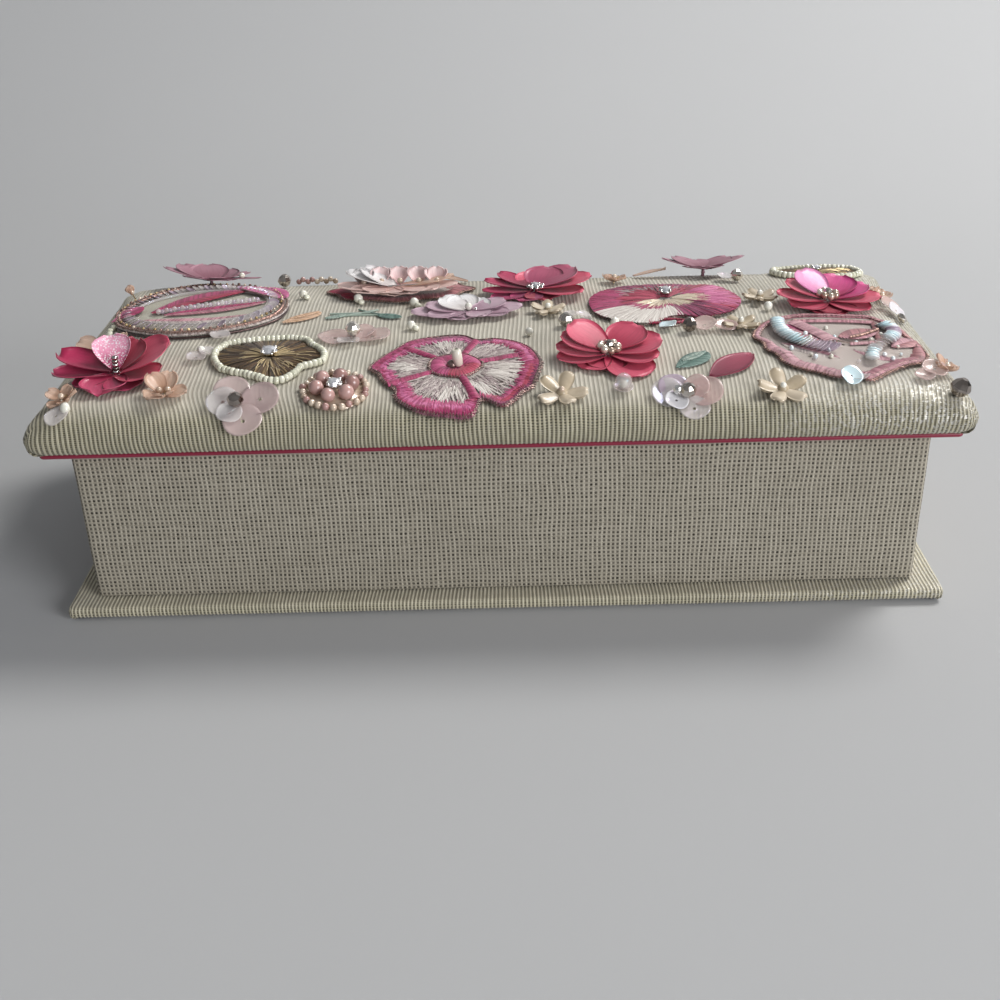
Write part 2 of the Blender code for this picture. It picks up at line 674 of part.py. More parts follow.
def make_spine():
    """Spine board and the gauze that wraps its back and ends."""
    cloth_half = BASE_WIDTH / 2 - SPINE_SIDE_SETBACK
    board_half = cloth_half - GAUZE_THICKNESS - CLEARANCE
    add_block("spine_board", "grey board",
              (-board_half, SPINE_BOARD_FRONT, TRAY_LEVEL),
              (board_half, SPINE_BOARD_BACK, HINGE_Z - SPINE_DROP))
    turned_in = SPINE_BOARD_FRONT - CLEARANCE - GAUZE_THICKNESS
    end = TRAY_WIDTH / 2 + CLEARANCE
    line = [(end, turned_in), (cloth_half, turned_in), (cloth_half, BACK_FACE),
            (-cloth_half, BACK_FACE), (-cloth_half, turned_in), (-end, turned_in)]
    add_band("spine_cloth", "ribbed gauze", line,
             (TRAY_LEVEL, HINGE_Z - HINGE_PLAY_BELOW), False, GAUZE_THICKNESS)


def make_tray():
    """Four wall boards and a floor board in one linen cover."""
    outer = TRAY_WIDTH / 2 - WALL_INSET
    inner = outer - WALL_BOARD_THICKNESS
    front, back = TRAY_FRONT + WALL_INSET, TRAY_BACK - WALL_INSET
    front_inner, back_inner = front + WALL_BOARD_THICKNESS, back - WALL_BOARD_THICKNESS
    low, high = FLOOR_BOARD_LEVEL, WALL_TOP_LEVEL
    add_block("front_wall", "grey board", (-outer, front, low), (outer, front_inner, high))
    add_block("back_wall", "grey board", (-outer, back_inner, low), (outer, back, high))
    side_front, side_back = front_inner + CLEARANCE, back_inner - CLEARANCE
    add_block("left_wall", "grey board", (-outer, side_front, low), (-inner, side_back, high))
    add_block("right_wall", "grey board", (inner, side_front, low), (outer, side_back, high))
    floor_half = inner - CLEARANCE
    add_block("tray_floor", "grey board", (-floor_half, side_front, low),
              (floor_half, side_back, low + FLOOR_BOARD_THICKNESS))
    section = [(TRAY_HEM, TRAY_LEVEL), (CLOTH_EDGE, TRAY_LEVEL),
               (0.0, TRAY_LEVEL + CLOTH_EDGE), (0.0, RIM_LEVEL - CLOTH_EDGE),
               (CLOTH_EDGE, RIM_LEVEL), (RIM_WIDTH - CLOTH_EDGE, RIM_LEVEL),
               (RIM_WIDTH, RIM_LEVEL - CLOTH_EDGE), (RIM_WIDTH, RIM_LEVEL - TRAY_TURN_IN)]
    rings = frame_rings(section, TRAY_WIDTH / 2, TRAY_HALF_DEPTH, TRAY_CORNER, TRAY_MIDDLE)
    add_cloth("tray_cloth", loft(rings), "greige linen", LINEN_THICKNESS)


def make_lining():
    """Silk-covered cards inside the tray, and the tray's half of the silk hinge strip."""
    outer = TRAY_WIDTH / 2 - LINING_INSET
    inner = outer - LINING_CARD_THICKNESS
    front, back = TRAY_FRONT + LINING_INSET, TRAY_BACK - BACK_LINING_INSET
    front_inner, back_inner = front + LINING_CARD_THICKNESS, back - LINING_CARD_THICKNESS
    low, high = LINING_LEVEL, LINING_TOP_LEVEL
    add_block("lining_front", "pink silk", (-outer, front, low), (outer, front_inner, high))
    add_block("lining_back", "pink silk", (-outer, back_inner, low), (outer, back, high))
    side_front, side_back = front_inner + CLEARANCE, back_inner - CLEARANCE
    add_block("lining_left", "pink silk", (-outer, side_front, low), (-inner, side_back, high))
    add_block("lining_right", "pink silk", (inner, side_front, low), (outer, side_back, high))
    floor_half = inner - CLEARANCE
    add_block("lining_floor", "pink silk", (-floor_half, side_front, low),
              (floor_half, side_back, low + LINING_CARD_THICKNESS))
    strip_half = outer - SILK_STRIP_END_GAP
    add_block("silk_strip_tray", "pink silk",
              (-strip_half, back + CLEARANCE, RIM_LEVEL - SILK_STRIP_TUCK),
              (strip_half, back + CLEARANCE + SILK_THICKNESS, RIM_LEVEL))


def add_lid_card(name, finish, setback, corner, level, thickness, hinge):
    """A flat board or card inside the lid's outline."""
    rings = [rounded_ring(LID_HALF_WIDTH - setback, LID_HALF_DEPTH - setback, corner,
                          LID_MIDDLE, height, CLOTH_CORNER_STEPS)
             for height in (level, level + thickness)]
    add_piece(name, loft(rings, floor=True, roof=True), finish, hinge)


def make_lid(hinge):
    """Lid board, wadding, gauze, liner card and the two cloth leaves of the hinge."""
    add_lid_card("lid_board", "grey board", LID_UNDERCUT + GAUZE_THICKNESS, LID_BOARD_CORNER,
                 LID_BOARD_LEVEL, LID_BOARD_THICKNESS, hinge)
    add_lid_card("lid_liner", "pink silk", LID_LINER_SETBACK, LID_LINER_CORNER,
                 LINER_LEVEL, LID_LINER_THICKNESS, hinge)

    depth = GAUZE_THICKNESS + CLEARANCE
    section = [(depth, WADDING_LEVEL), (depth, LID_WIDEST_LEVEL)] + lid_top_section(depth)
    wadding = loft(lid_rings(section), floor=True, roof=True)
    add_piece("lid_wadding", wadding, "wadding", hinge)

    section = [(LID_UNDERCUT + LID_HEM, LID_HEM_LEVEL)] + lid_section(0.0)
    add_cloth("lid_cover", loft(lid_rings(section), roof=True), "ribbed gauze",
              GAUZE_THICKNESS, hinge)

    leaf_half = BASE_WIDTH / 2 - SPINE_SIDE_SETBACK
    leaf_top = LID_HEM_LEVEL - CLEARANCE
    line = [(BACK_FACE, HINGE_Z + HINGE_PLAY_ABOVE), (BACK_FACE, leaf_top),
            (LID_BACK - LID_LINER_SETBACK + 2 * CLEARANCE, leaf_top)]
    add_band("hinge_cloth", "ribbed gauze", line, (-leaf_half, leaf_half), True,
             GAUZE_THICKNESS, hinge)

    strip_half = TRAY_WIDTH / 2 - LINING_INSET - SILK_STRIP_END_GAP
    strip_back = TRAY_BACK - BACK_LINING_INSET
    add_block("silk_strip_lid", "pink silk",
              (-strip_half, strip_back - SILK_STRIP_WIDTH, RIM_LEVEL - SILK_THICKNESS),
              (strip_half, strip_back, RIM_LEVEL), hinge)


# The trimmings

def add_flower_centre(bm, kind, level):
    """Pearl, upright bead, bead cluster or crystal on a flower's stem."""
    foot = Vector((0.0, 0.0, level - SINK))
    if kind == "pearl":
        add_ball(bm, foot + Vector((0.0, 0.0, SMALL_PEARL / 2)), SMALL_PEARL, 2)
        return
    if kind == "bugle":
        add_stub(bm, foot, BUGLE_WIDTH, BUGLE_HEIGHT, STEM_SIDES)
        return
    if kind == "crystal":
        add_crystal(bm, foot)
        return
    ring = CRYSTAL_WIDTH / 2 + SINK
    add_stub(bm, foot, 2 * ring, FELT_THICKNESS, STEM_SIDES)
    head = foot + Vector((0.0, 0.0, FELT_THICKNESS - SINK))
    add_crystal(bm, head)
    for step in range(CLUSTER_PEARLS):
        angle = math.tau * (step + CLUSTER_TURN_SHARE) / CLUSTER_PEARLS
        centre = Vector((ring * math.cos(angle), ring * math.sin(angle), SMALL_PEARL / 2))
        add_ball(bm, head + centre, SMALL_PEARL)


def make_petal_flower(name, finish, size, kind, hinge, lift=0.0, foot=0.0):
    """Petals round a stem, with a bead or stone on top."""
    place = seat(PETAL_FLOWER_PLACE_SHARES[name], STEM_WIDTH / 2) + Vector((0.0, 0.0, foot))
    stem = bmesh.new()
    add_stub(stem, Vector(), STEM_WIDTH, lift + STEM_HEIGHT, STEM_SIDES)
    bm = bmesh.new()
    for index, shares in enumerate(PETAL_SHARES[name]):
        root = Vector((0.0, 0.0, lift + STEM_FOOT + PETAL_STEP * (index % 2)))
        add_petal(bm, root, size, shares)
    add_flower_centre(bm, kind, lift + STEM_HEIGHT)
    if name == "blush_flower":
        add_petal_row(bm, size)
    return add_fused(name, bm, stem, finish, hinge, place)


def add_petal_row(bm, size):
    """A low band across a flower, with a row of petals that stands on it."""
    half_width, half_depth = size[0] / 2, size[1] / 2
    side_share, back_share = BLUSH_ROW_MIDDLE_SHARES
    middle = Vector((side_share * half_width, back_share * half_depth, STEM_FOOT + PETAL_STEP))

    def band(along, across, side):
        long_share, deep_share, high_share = BLUSH_BAND_SHARES
        return middle + half_width * Vector((long_share * along, deep_share * across,
                                             high_share * side))

    def row(along, across, side):
        long_share, high_share, lean_share, thin_share = BLUSH_ROW_SHARES
        share = (across + 1) / 2
        return middle + half_width * Vector((long_share * along,
                                             lean_share * share - thin_share * side,
                                             high_share * share)) - Vector((0.0, 0.0, SINK))

    add_pad(bm, PATCH_SIDES // 2, PETAL_BANDS, band)
    add_pad(bm, PATCH_SIDES, PETAL_BANDS, row)


def lobe_reach(lobes, angle):
    """Reach of a lobed outline in one direction, as a share of its full size."""
    best = 0.0
    for turn_share, reach_share in lobes:
        gap = abs((angle / math.tau - turn_share + 0.5) % 1.0 - 0.5) * 2 * len(lobes)
        best = max(best, reach_share * (1 - PATCH_NOTCH_SHARE * gap ** 2))
    return best


def make_patch(name, finish, size, hinge):
    """An embroidered patch that follows the lid, with a raised border and middle ring."""
    x, y = lid_place(PATCH_PLACE_SHARES[name])
    middle = on_lid(x, y)
    bm = bmesh.new()

    def shape(along, across, side):
        share = math.hypot(along, across)
        reach = lobe_reach(LOBE_SHARES[name], math.atan2(across, along))
        swing = math.pi * (share - PATCH_RING_SHARE) / (PATCH_BORDER_SHARE - PATCH_RING_SHARE)
        lift = (PATCH_THICKNESS + PATCH_RIDGE * math.cos(swing) ** 2) * (1 + side) / 2
        return on_lid(x + size[0] / 2 * reach * along, y + size[1] / 2 * reach * across,
                      CLEARANCE + lift) - middle

    add_pad(bm, PATCH_SIDES, PATCH_BANDS, shape)
    return add_piece(name, bm, finish, hinge, middle)


def make_leaf(name, finish, size, hinge):
    """A small embroidered leaf that follows the lid."""
    x, y = lid_place(LEAF_PLACE_SHARES[name])
    middle = on_lid(x, y)
    turn = Matrix.Rotation(math.tau * LEAF_TURN_SHARES[name], 2)
    bm = bmesh.new()

    def shape(along, across, side):
        slim = 1 - LEAF_SLIM_SHARE * along ** 2
        placed = turn @ Vector((size[0] / 2 * along, size[1] / 2 * across * slim))
        lift = LEAF_THICKNESS * (1 + side) / 2
        return on_lid(x + placed.x, y + placed.y, CLEARANCE + lift) - middle

    add_pad(bm, LEAF_SIDES, LEAF_BANDS, shape)
    return add_piece(name, bm, finish, hinge, middle)


def walk(path, pitch):
    """Points a pitch apart along a closed path, which maps 0..1 to a place."""
    fine = [path(step / WALK_STEPS) for step in range(WALK_STEPS + 1)]
    lengths = [0.0]
    for before, after in zip(fine, fine[1:]):
        lengths.append(lengths[-1] + (after - before).length)
    count = int(lengths[-1] / pitch)
    points = []
    index = 0
    for bead in range(count):
        target = lengths[-1] * bead / count
        while lengths[index + 1] < target:
            index += 1
        points.append(fine[index])
    return points


def make_bead_clover(name, size, place_shares, hinge):
    """A string of seed beads in four lobes round a fill of thread and a crystal."""
    x, y = lid_place(place_shares)
    middle = on_lid(x, y)

    def outline(angle):
        lobe = 1 - CLOVER_DEPTH_SHARE * math.sin(CLOVER_LOBES / 2 * angle) ** 2
        return Vector((size[0] / 2 * lobe * math.cos(angle), size[1] / 2 * lobe * math.sin(angle)))

    def off_lid(point, height):
        return on_lid(x + point.x, y + point.y, CLEARANCE + height) - middle

    def fill_shape(along, across, side):
        point = outline(math.atan2(across, along)) * math.hypot(along, across)
        return off_lid(point, BEAD_FILL_THICKNESS * (1 + side) / 2)

    fill = bmesh.new()
    add_pad(fill, CLOVER_SIDES, PETAL_BANDS, fill_shape)
    points = walk(lambda share: outline(math.tau * share), SEED_BEAD_PITCH)
    rings = []
    for index, point in enumerate(points):
        beyond = points[(index + 1) % len(points)]
        heading = (beyond - points[index - 1]).normalized()
        for centre, radius in ((point, SEED_BEAD / 2), ((point + beyond) / 2, BEAD_THREAD / 2)):
            rings.append(bead_ring(off_lid(centre, SEED_BEAD / 2 + SINK), radius, heading))
    string = loft(rings + rings[:1])
    bmesh.ops.remove_doubles(string, verts=string.verts, dist=WELD_DISTANCE)
    add_crystal(string, off_lid(Vector((0.0, 0.0)), BEAD_FILL_THICKNESS - SINK))
    return add_fused(name, string, fill, "ivory beads", hinge, middle)


def bead_ring(centre, radius, heading):
    """Points round a string of beads that runs along heading."""
    points = []
    for step in range(STRING_SIDES):
        angle = math.tau * step / STRING_SIDES
        side = radius * math.cos(angle)
        points.append(centre + Vector((-heading.y * side, heading.x * side,
                                       radius * math.sin(angle))))
    return points


def make_sequin_flower(name, finish, hinge):
    """Cupped sequins that lean on a bead."""
    place, lean = leaning_seat(SEQUIN_FLOWER_PLACE_SHARES[name])
    bm = bmesh.new()
    for index, (turn_share, width_share) in enumerate(SEQUIN_SHARES[name]):
        width = width_share * SEQUIN_WIDTH
        ring = (width + MIDDLE_PEARL) / 2 - 2 * SINK
        angle = math.tau * turn_share
        add_sequin(bm, Vector((ring * math.cos(angle), ring * math.sin(angle), SINK * index)), width)
    bead = bmesh.new()
    add_ball(bead, Vector((0.0, 0.0, MIDDLE_PEARL / 2)), MIDDLE_PEARL, 2)
    return add_fused(name, bm, bead, finish, hinge, place, lean)


def make_pearl_cluster(hinge):
    """Large pearls round a crystal, in a ring of small ones, on a disc of felt."""
    inner = LARGE_PEARL
    outer = inner + (LARGE_PEARL + SMALL_PEARL) / 2
    place, lean = leaning_seat(PEARL_CLUSTER_PLACE_SHARES)
    felt = bmesh.new()
    add_stub(felt, Vector(), 2 * outer, FELT_THICKNESS, FELT_SIDES)
    bm = bmesh.new()
    top = FELT_THICKNESS - SINK
    for step in range(CLUSTER_PEARLS):
        angle = math.tau * step / CLUSTER_PEARLS
        centre = Vector((inner * math.cos(angle), inner * math.sin(angle), top + LARGE_PEARL / 2))
        add_ball(bm, centre, LARGE_PEARL, 2)
    count = int(math.tau * outer / SMALL_PEARL)
    for step in range(count):
        angle = math.tau * step / count
        centre = Vector((outer * math.cos(angle), outer * math.sin(angle), top + SMALL_PEARL / 2))
        add_ball(bm, centre, SMALL_PEARL)
    add_crystal(bm, Vector((0.0, 0.0, top)))
    return add_fused("pearl_cluster", bm, felt, "rose pearl", hinge, place, lean)


def make_resin_flower(name, finish, shares, width, hinge):
    """A moulded flower with five round lobes and a hollow middle."""
    place, lean = leaning_seat(shares)
    bm = bmesh.new()

    def shape(along, across, side):
        share = math.hypot(along, across)
        lobe = 1 - RESIN_NOTCH_SHARE * math.sin(RESIN_LOBES / 2 * math.atan2(across, along)) ** 2
        hollow = RESIN_DIMPLE * max(0.0, 1 - 2 * share)
        bulge = RESIN_THICKNESS * (1 - RESIN_FALL_SHARE * share ** 2) - hollow
        lift = bulge if side > 0 else (1 + side) * RESIN_RIM_SHARE * RESIN_THICKNESS
        return Vector((width / 2 * lobe * along, width / 2 * lobe * across, lift))

    add_pad(bm, RESIN_SIDES, RESIN_BANDS, shape)
    return add_piece(name, bm, finish, hinge, place, lean)


def make_ball(name, finish, shares, width, hinge):
    """A pearl or bead sewn straight to the lid."""
    bm = bmesh.new()
    x, y = lid_place(shares)
    add_ball(bm, Vector(), width, 2)
    return add_piece(name, bm, finish, hinge, on_lid(x, y, CLEARANCE + width / 2))


def make_trimmings(hinge):
    """Everything sewn to the lid."""
    for name, finish, size in (
            ("embroidery_oval", "magenta embroidery", OVAL_PATCH),
            ("embroidery_flower_front", "magenta embroidery", FRONT_PATCH),
            ("embroidery_flower_right", "magenta embroidery", RIGHT_PATCH),
            ("embroidery_shell", "rose embroidery", SHELL_PATCH),
            ("embroidery_blush", "rose embroidery", BLUSH_PATCH)):
        make_patch(name, finish, size, hinge)

    for name, finish, size, kind in (
            ("coral_flower_left", "coral satin", CORAL_LEFT, "bugle"),
            ("lilac_flower", "mauve organza", LILAC_FLOWER, "pearl"),
            ("crimson_flower", "crimson satin", CRIMSON_FLOWER, "crystal"),
            ("mauve_flower_back_right", "mauve organza", SMALL_MAUVE_FLOWER, "pearl"),
            ("coral_flower_right", "coral satin", CORAL_RIGHT, "cluster"),
            ("coral_flower_middle", "coral satin", CORAL_MIDDLE, "cluster")):
        make_petal_flower(name, finish, size, kind, hinge)
    make_petal_flower("mauve_flower_back_left", "mauve organza", MAUVE_FLOWER, "pearl", hinge,
                      lift=STEM_BESIDE_PATCH)
    make_petal_flower("blush_flower", "blush organza", BLUSH_FLOWER, "pearl", hinge,
                      foot=PATCH_THICKNESS + PATCH_RIDGE + CLEARANCE)

    make_leaf("sprig_teal", "teal thread", SPRIG, hinge)
    make_leaf("leaf_peach", "peach thread", PEACH_LEAF, hinge)
    make_leaf("leaf_teal", "teal thread", TEAL_LEAF, hinge)
    make_leaf("leaf_pink", "crimson satin", PINK_LEAF, hinge)

    make_bead_clover("bead_clover_left", CLOVER_LEFT, CLOVER_LEFT_PLACE_SHARES, hinge)
    make_bead_clover("bead_clover_right", CLOVER_RIGHT, CLOVER_RIGHT_PLACE_SHARES, hinge)
    make_sequin_flower("sequin_flower_mauve", "mauve sequin", hinge)
    make_sequin_flower("sequin_flower_pink", "pink sequin", hinge)
    make_sequin_flower("sequin_flower_white", "clear sequin", hinge)
    make_pearl_cluster(hinge)

    for number, (shares, width) in enumerate(zip(CREAM_FLOWER_PLACE_SHARES, CREAM_FLOWERS), 1):
        make_resin_flower(f"cream_flower_{number}", "cream resin", shares, width, hinge)
    for number, (shares, width) in enumerate(zip(PEACH_FLOWER_PLACE_SHARES, PEACH_FLOWERS), 1):
        make_resin_flower(f"peach_flower_{number}", "peach resin", shares, width, hinge)
    make_ball("pearl_front", "rose pearl", PEARL_PLACE_SHARES, MIDDLE_PEARL, hinge)
    make_ball("silver_bead", "silver", SILVER_BEAD_PLACE_SHARES, SILVER_BEAD, hinge)
    make_ball("faceted_ball", "silver", FACETED_BALL_PLACE_SHARES, FACETED_BALL, hinge)


clear_scene()
PARTS = new_collection("keepsake_box")
CORES = new_collection("cores")
FINISHES = {
    name: new_finish(name, color, roughness, metallic)
    for name, color, roughness, metallic in (
        ("grey board", (0.32, 0.27, 0.20), 0.90, 0.0),
        ("lining paper", (0.42, 0.39, 0.34), 0.85, 0.0),
        ("ribbed gauze", (0.50, 0.47, 0.40), 0.45, 0.2),
        ("greige linen", (0.36, 0.31, 0.26), 0.85, 0.0),
        ("pink silk", (0.62, 0.03, 0.15), 0.45, 0.0),
        ("wadding", (0.80, 0.79, 0.76), 0.95, 0.0),
        ("magenta embroidery", (0.55, 0.06, 0.24), 0.60, 0.0),
        ("rose embroidery", (0.70, 0.34, 0.38), 0.60, 0.0),
        ("mauve organza", (0.50, 0.33, 0.38), 0.50, 0.0),
        ("blush organza", (0.72, 0.45, 0.45), 0.50, 0.0),
        ("coral satin", (0.72, 0.16, 0.15), 0.45, 0.0),
        ("crimson satin", (0.55, 0.03, 0.10), 0.45, 0.0),
        ("teal thread", (0.05, 0.22, 0.22), 0.60, 0.0),
        ("peach thread", (0.75, 0.36, 0.20), 0.60, 0.0),
        ("ivory beads", (0.60, 0.58, 0.46), 0.25, 0.0),
        ("mauve sequin", (0.52, 0.30, 0.38), 0.25, 0.3),
        ("pink sequin", (0.75, 0.35, 0.42), 0.25, 0.3),
        ("clear sequin", (0.75, 0.78, 0.78), 0.20, 0.4),
        ("rose pearl", (0.70, 0.50, 0.44), 0.25, 0.0),
        ("cream resin", (0.75, 0.68, 0.52), 0.40, 0.0),
        ("peach resin", (0.75, 0.42, 0.28), 0.40, 0.0),
        ("silver", (0.72, 0.72, 0.72), 0.20, 1.0),
    )
}
HINGE = bpy.data.objects.new("lid_hinge_axis", None)
HINGE.location = (0.0, HINGE_Y, HINGE_Z)
PARTS.objects.link(HINGE)

make_base()
make_spine()
make_tray()
make_lining()
make_lid(HINGE)
make_trimmings(HINGE)
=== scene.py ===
"""Looks of a keepsake box bound like a book, made around its fixed frame.

Metres, in the frame's own axes: X along the box, Y to its back and Z up.
"""

import math
import random

import bpy
import numpy as np
from mathutils import Matrix, Vector
from mathutils.bvhtree import BVHTree


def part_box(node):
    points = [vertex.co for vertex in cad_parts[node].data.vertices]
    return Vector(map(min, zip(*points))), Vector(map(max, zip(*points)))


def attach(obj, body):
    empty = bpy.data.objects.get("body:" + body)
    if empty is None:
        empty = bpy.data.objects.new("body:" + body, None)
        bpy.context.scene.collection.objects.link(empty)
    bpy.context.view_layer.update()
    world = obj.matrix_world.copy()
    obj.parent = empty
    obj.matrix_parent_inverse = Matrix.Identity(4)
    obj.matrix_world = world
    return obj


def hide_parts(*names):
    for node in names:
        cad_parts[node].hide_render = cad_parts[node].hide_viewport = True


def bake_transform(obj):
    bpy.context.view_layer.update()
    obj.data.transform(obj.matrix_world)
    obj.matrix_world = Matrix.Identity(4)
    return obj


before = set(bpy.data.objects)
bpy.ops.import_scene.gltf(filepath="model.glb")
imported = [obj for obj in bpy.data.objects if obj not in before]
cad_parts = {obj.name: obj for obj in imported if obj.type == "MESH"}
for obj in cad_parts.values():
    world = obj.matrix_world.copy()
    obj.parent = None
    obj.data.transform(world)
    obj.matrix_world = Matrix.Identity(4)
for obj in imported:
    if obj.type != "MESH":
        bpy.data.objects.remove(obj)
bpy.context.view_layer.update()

MM = 0.001
TURN = 2 * math.pi

# Cloths
RIB_PITCH = 1.17 * MM
BASE_RIB_PITCH = 1.04 * MM
RIB_HEIGHT = 0.17 * MM
RIB_STEPS = 4
WEFT_PITCH = 0.55 * MM
WEAVE_PITCH = 1.24 * MM
SILK_THICKNESS = 0.3 * MM

# The padded lid's section, as the frame has it
LID_CORNER = 4.0 * MM
CORNER_GROWTH = 1.6
TUCK_GROWTH = 0.9
END_STRAIGHT = 2.0 * MM
LID_UNDERCUT = 2.2 * MM
LID_EDGE_DROP = 3.8 * MM
LID_SHOULDER = 8.0 * MM
LID_SHOULDER_RISE = 6.0 * MM
LID_CREST_INSET = 36.0 * MM
LID_CROWN = 2.0 * MM

# Its gauze: the hem turned in under the lid, and how far wadding lifts it or lets it sink
LID_HEM = 12.0 * MM
PAD_RISE = 1.3 * MM
PAD_SINK = 0.1 * MM

# The camera, fitted to the photograph
CAMERA_PLACE = (4.84 * MM, -358.16 * MM, 197.2 * MM)
CAMERA_PITCH = 28.07
CAMERA_YAW = 0.94
CAMERA_ROLL = -1.83
LENS = 46.25
SENSOR = 36.0


# Node materials

class Paint:
    """A node material being put together."""

    def __init__(self, name, **values):
        self.material = bpy.data.materials.new(name)
        self.material.use_nodes = True
        self.tree = self.material.node_tree
        self.shader = self.tree.nodes["Principled BSDF"]
        self.coordinates = self.tree.nodes.new("ShaderNodeTexCoord")
        self.uv = self.coordinates.outputs["UV"]
        self.place = self.coordinates.outputs["Object"]
        for key, value in values.items():
            socket = self.shader.inputs[key.replace("_", " ")]
            socket.default_value = (*value, 1.0) if isinstance(value, tuple) else value

    def put(self, value, socket):
        """Give a socket a value, a colour or another node's output."""
        if isinstance(value, bpy.types.NodeSocket):
            self.tree.links.new(value, socket)
        elif isinstance(value, tuple) and socket.type == "RGBA":
            socket.default_value = (*value, 1.0)
        else:
            socket.default_value = value

    def node(self, kind, inputs, **settings):
        """Add a node and fill its inputs, which are named or numbered."""
        made = self.tree.nodes.new("ShaderNode" + kind)
        for key, value in settings.items():
            setattr(made, key, value)
        for key, value in inputs.items():
            self.put(value, made.inputs[key])
        return made

    def math(self, operation, first, second=0.0, third=0.0):
        return self.node("Math", {0: first, 1: second, 2: third}, operation=operation).outputs[0]

    def times(self, first, second):
        return self.math("MULTIPLY", first, second)

    def mix(self, share, first, second, blend="MIX"):
        made = self.node("Mix", {0: share, 6: first, 7: second}, data_type="RGBA",
                         blend_type=blend)
        return made.outputs[2]

    def step(self, value, low, high):
        """0 below low and 1 above high, with a smooth rise between."""
        made = self.node("MapRange", {0: value, 1: low, 2: high, 3: 0.0, 4: 1.0},
                         interpolation_type="SMOOTHSTEP")
        return made.outputs[0]

    def noise(self, scale, detail=3.0, stretch=None, where=None):
        """Noise over the piece; scale counts waves in a metre."""
        vector = where or self.place
        if stretch:
            vector = self.node("Mapping", {"Vector": vector, "Scale": stretch}).outputs[0]
        made = self.node("TexNoise", {"Vector": vector, "Scale": scale, "Detail": detail})
        return made.outputs[0]

    def sparkle(self, scale, where=None):
        """A random value for each small cell of the surface."""
        made = self.node("TexVoronoi", {"Vector": where or self.place, "Scale": scale})
        return self.node("SeparateColor", {0: made.outputs["Color"]}).outputs[0]

    def axes(self, vector):
        return self.node("SeparateXYZ", {0: vector}).outputs

    def wave(self, value, pitch):
        """0 to 1 and back once in each pitch, 1 at its multiples."""
        angle = self.times(value, TURN / pitch)
        return self.math("MULTIPLY_ADD", self.math("COSINE", angle), 0.5, 0.5)

    def attribute(self, name):
        return self.node("Attribute", {}, attribute_name=name).outputs["Fac"]

    def color(self, value):
        self.put(value, self.shader.inputs["Base Color"])

    def rough(self, value):
        self.put(value, self.shader.inputs["Roughness"])

    def bump(self, height, distance, strength=1.0):
        made = self.node("Bump", {"Height": height, "Distance": distance, "Strength": strength})
        self.put(made.outputs[0], self.shader.inputs["Normal"])


def paint_gauze(name, bright, pitch):
    """Ivory double threads over an open olive weft, with metal threads towards one end."""
    paint = Paint(name, Roughness=0.62, Sheen_Weight=0.15, Sheen_Roughness=0.5)
    across, along, _ = paint.axes(paint.uv)
    rib = paint.wave(across, pitch)
    weft = paint.wave(along, WEFT_PITCH)
    slub = paint.noise(900.0, 2.0, stretch=(1.0, 0.15, 1.0), where=paint.uv)
    thread = paint.step(rib, 0.40, 0.66)
    rung = paint.step(weft, 0.30, 0.72)
    # Painted shade: the roll attribute darkens the gaps, the yarn and the ivory threads where the
    # cloth turns down over an edge and on upright faces
    roll = paint.attribute("roll")
    patch = paint.noise(28.0, 3.0)
    # shade mixes random patches of tone with the roll's painted shade
    shade = paint.math("MULTIPLY_ADD", patch, 0.4, paint.times(roll, 0.9))
    # Gaps are pale on top, where the white wadding shows through, and near black on the roll, where
    # the dark is painted shade
    gap = paint.mix(shade, (0.43, 0.395, 0.33), (0.036, 0.030, 0.013))
    yarn = paint.mix(shade, (0.52, 0.49, 0.41), (0.25, 0.23, 0.155))
    gap = paint.mix(rung, gap, yarn)
    ivory = paint.mix(shade, (0.68, 0.645, 0.565), (0.50, 0.465, 0.345))
    ivory = paint.mix(paint.step(slub, 0.35, 0.65), paint.mix(0.4, ivory, yarn), ivory)
    cloth = paint.mix(thread, gap, ivory)
    # bright lifts the whole cloth's colour: painted light, for the base's lighter copy of this gauze
    tints = [tuple(bright * tone for tone in tint)
             for tint in ((0.84, 0.84, 0.83), (1.14, 1.13, 1.11))]
    cloth = paint.mix(1.0, cloth, paint.mix(paint.noise(75.0, 3.0), *tints), "MULTIPLY")
    metal = paint.attribute("metal")
    fleck = paint.step(paint.sparkle(2300.0, paint.uv), 0.62, 0.82)
    glint = paint.times(fleck, metal)
    cloth = paint.mix(paint.times(glint, 0.7), cloth, (0.56, 0.55, 0.52))
    paint.color(cloth)
    paint.put(paint.times(glint, 0.5), paint.shader.inputs["Metallic"])
    paint.rough(paint.mix(glint, (0.62, 0.62, 0.62), (0.40, 0.40, 0.40)))
    height = paint.math("MULTIPLY_ADD", weft, 0.35, thread)
    paint.bump(height, 0.10 * MM, 0.8)
    return paint.material


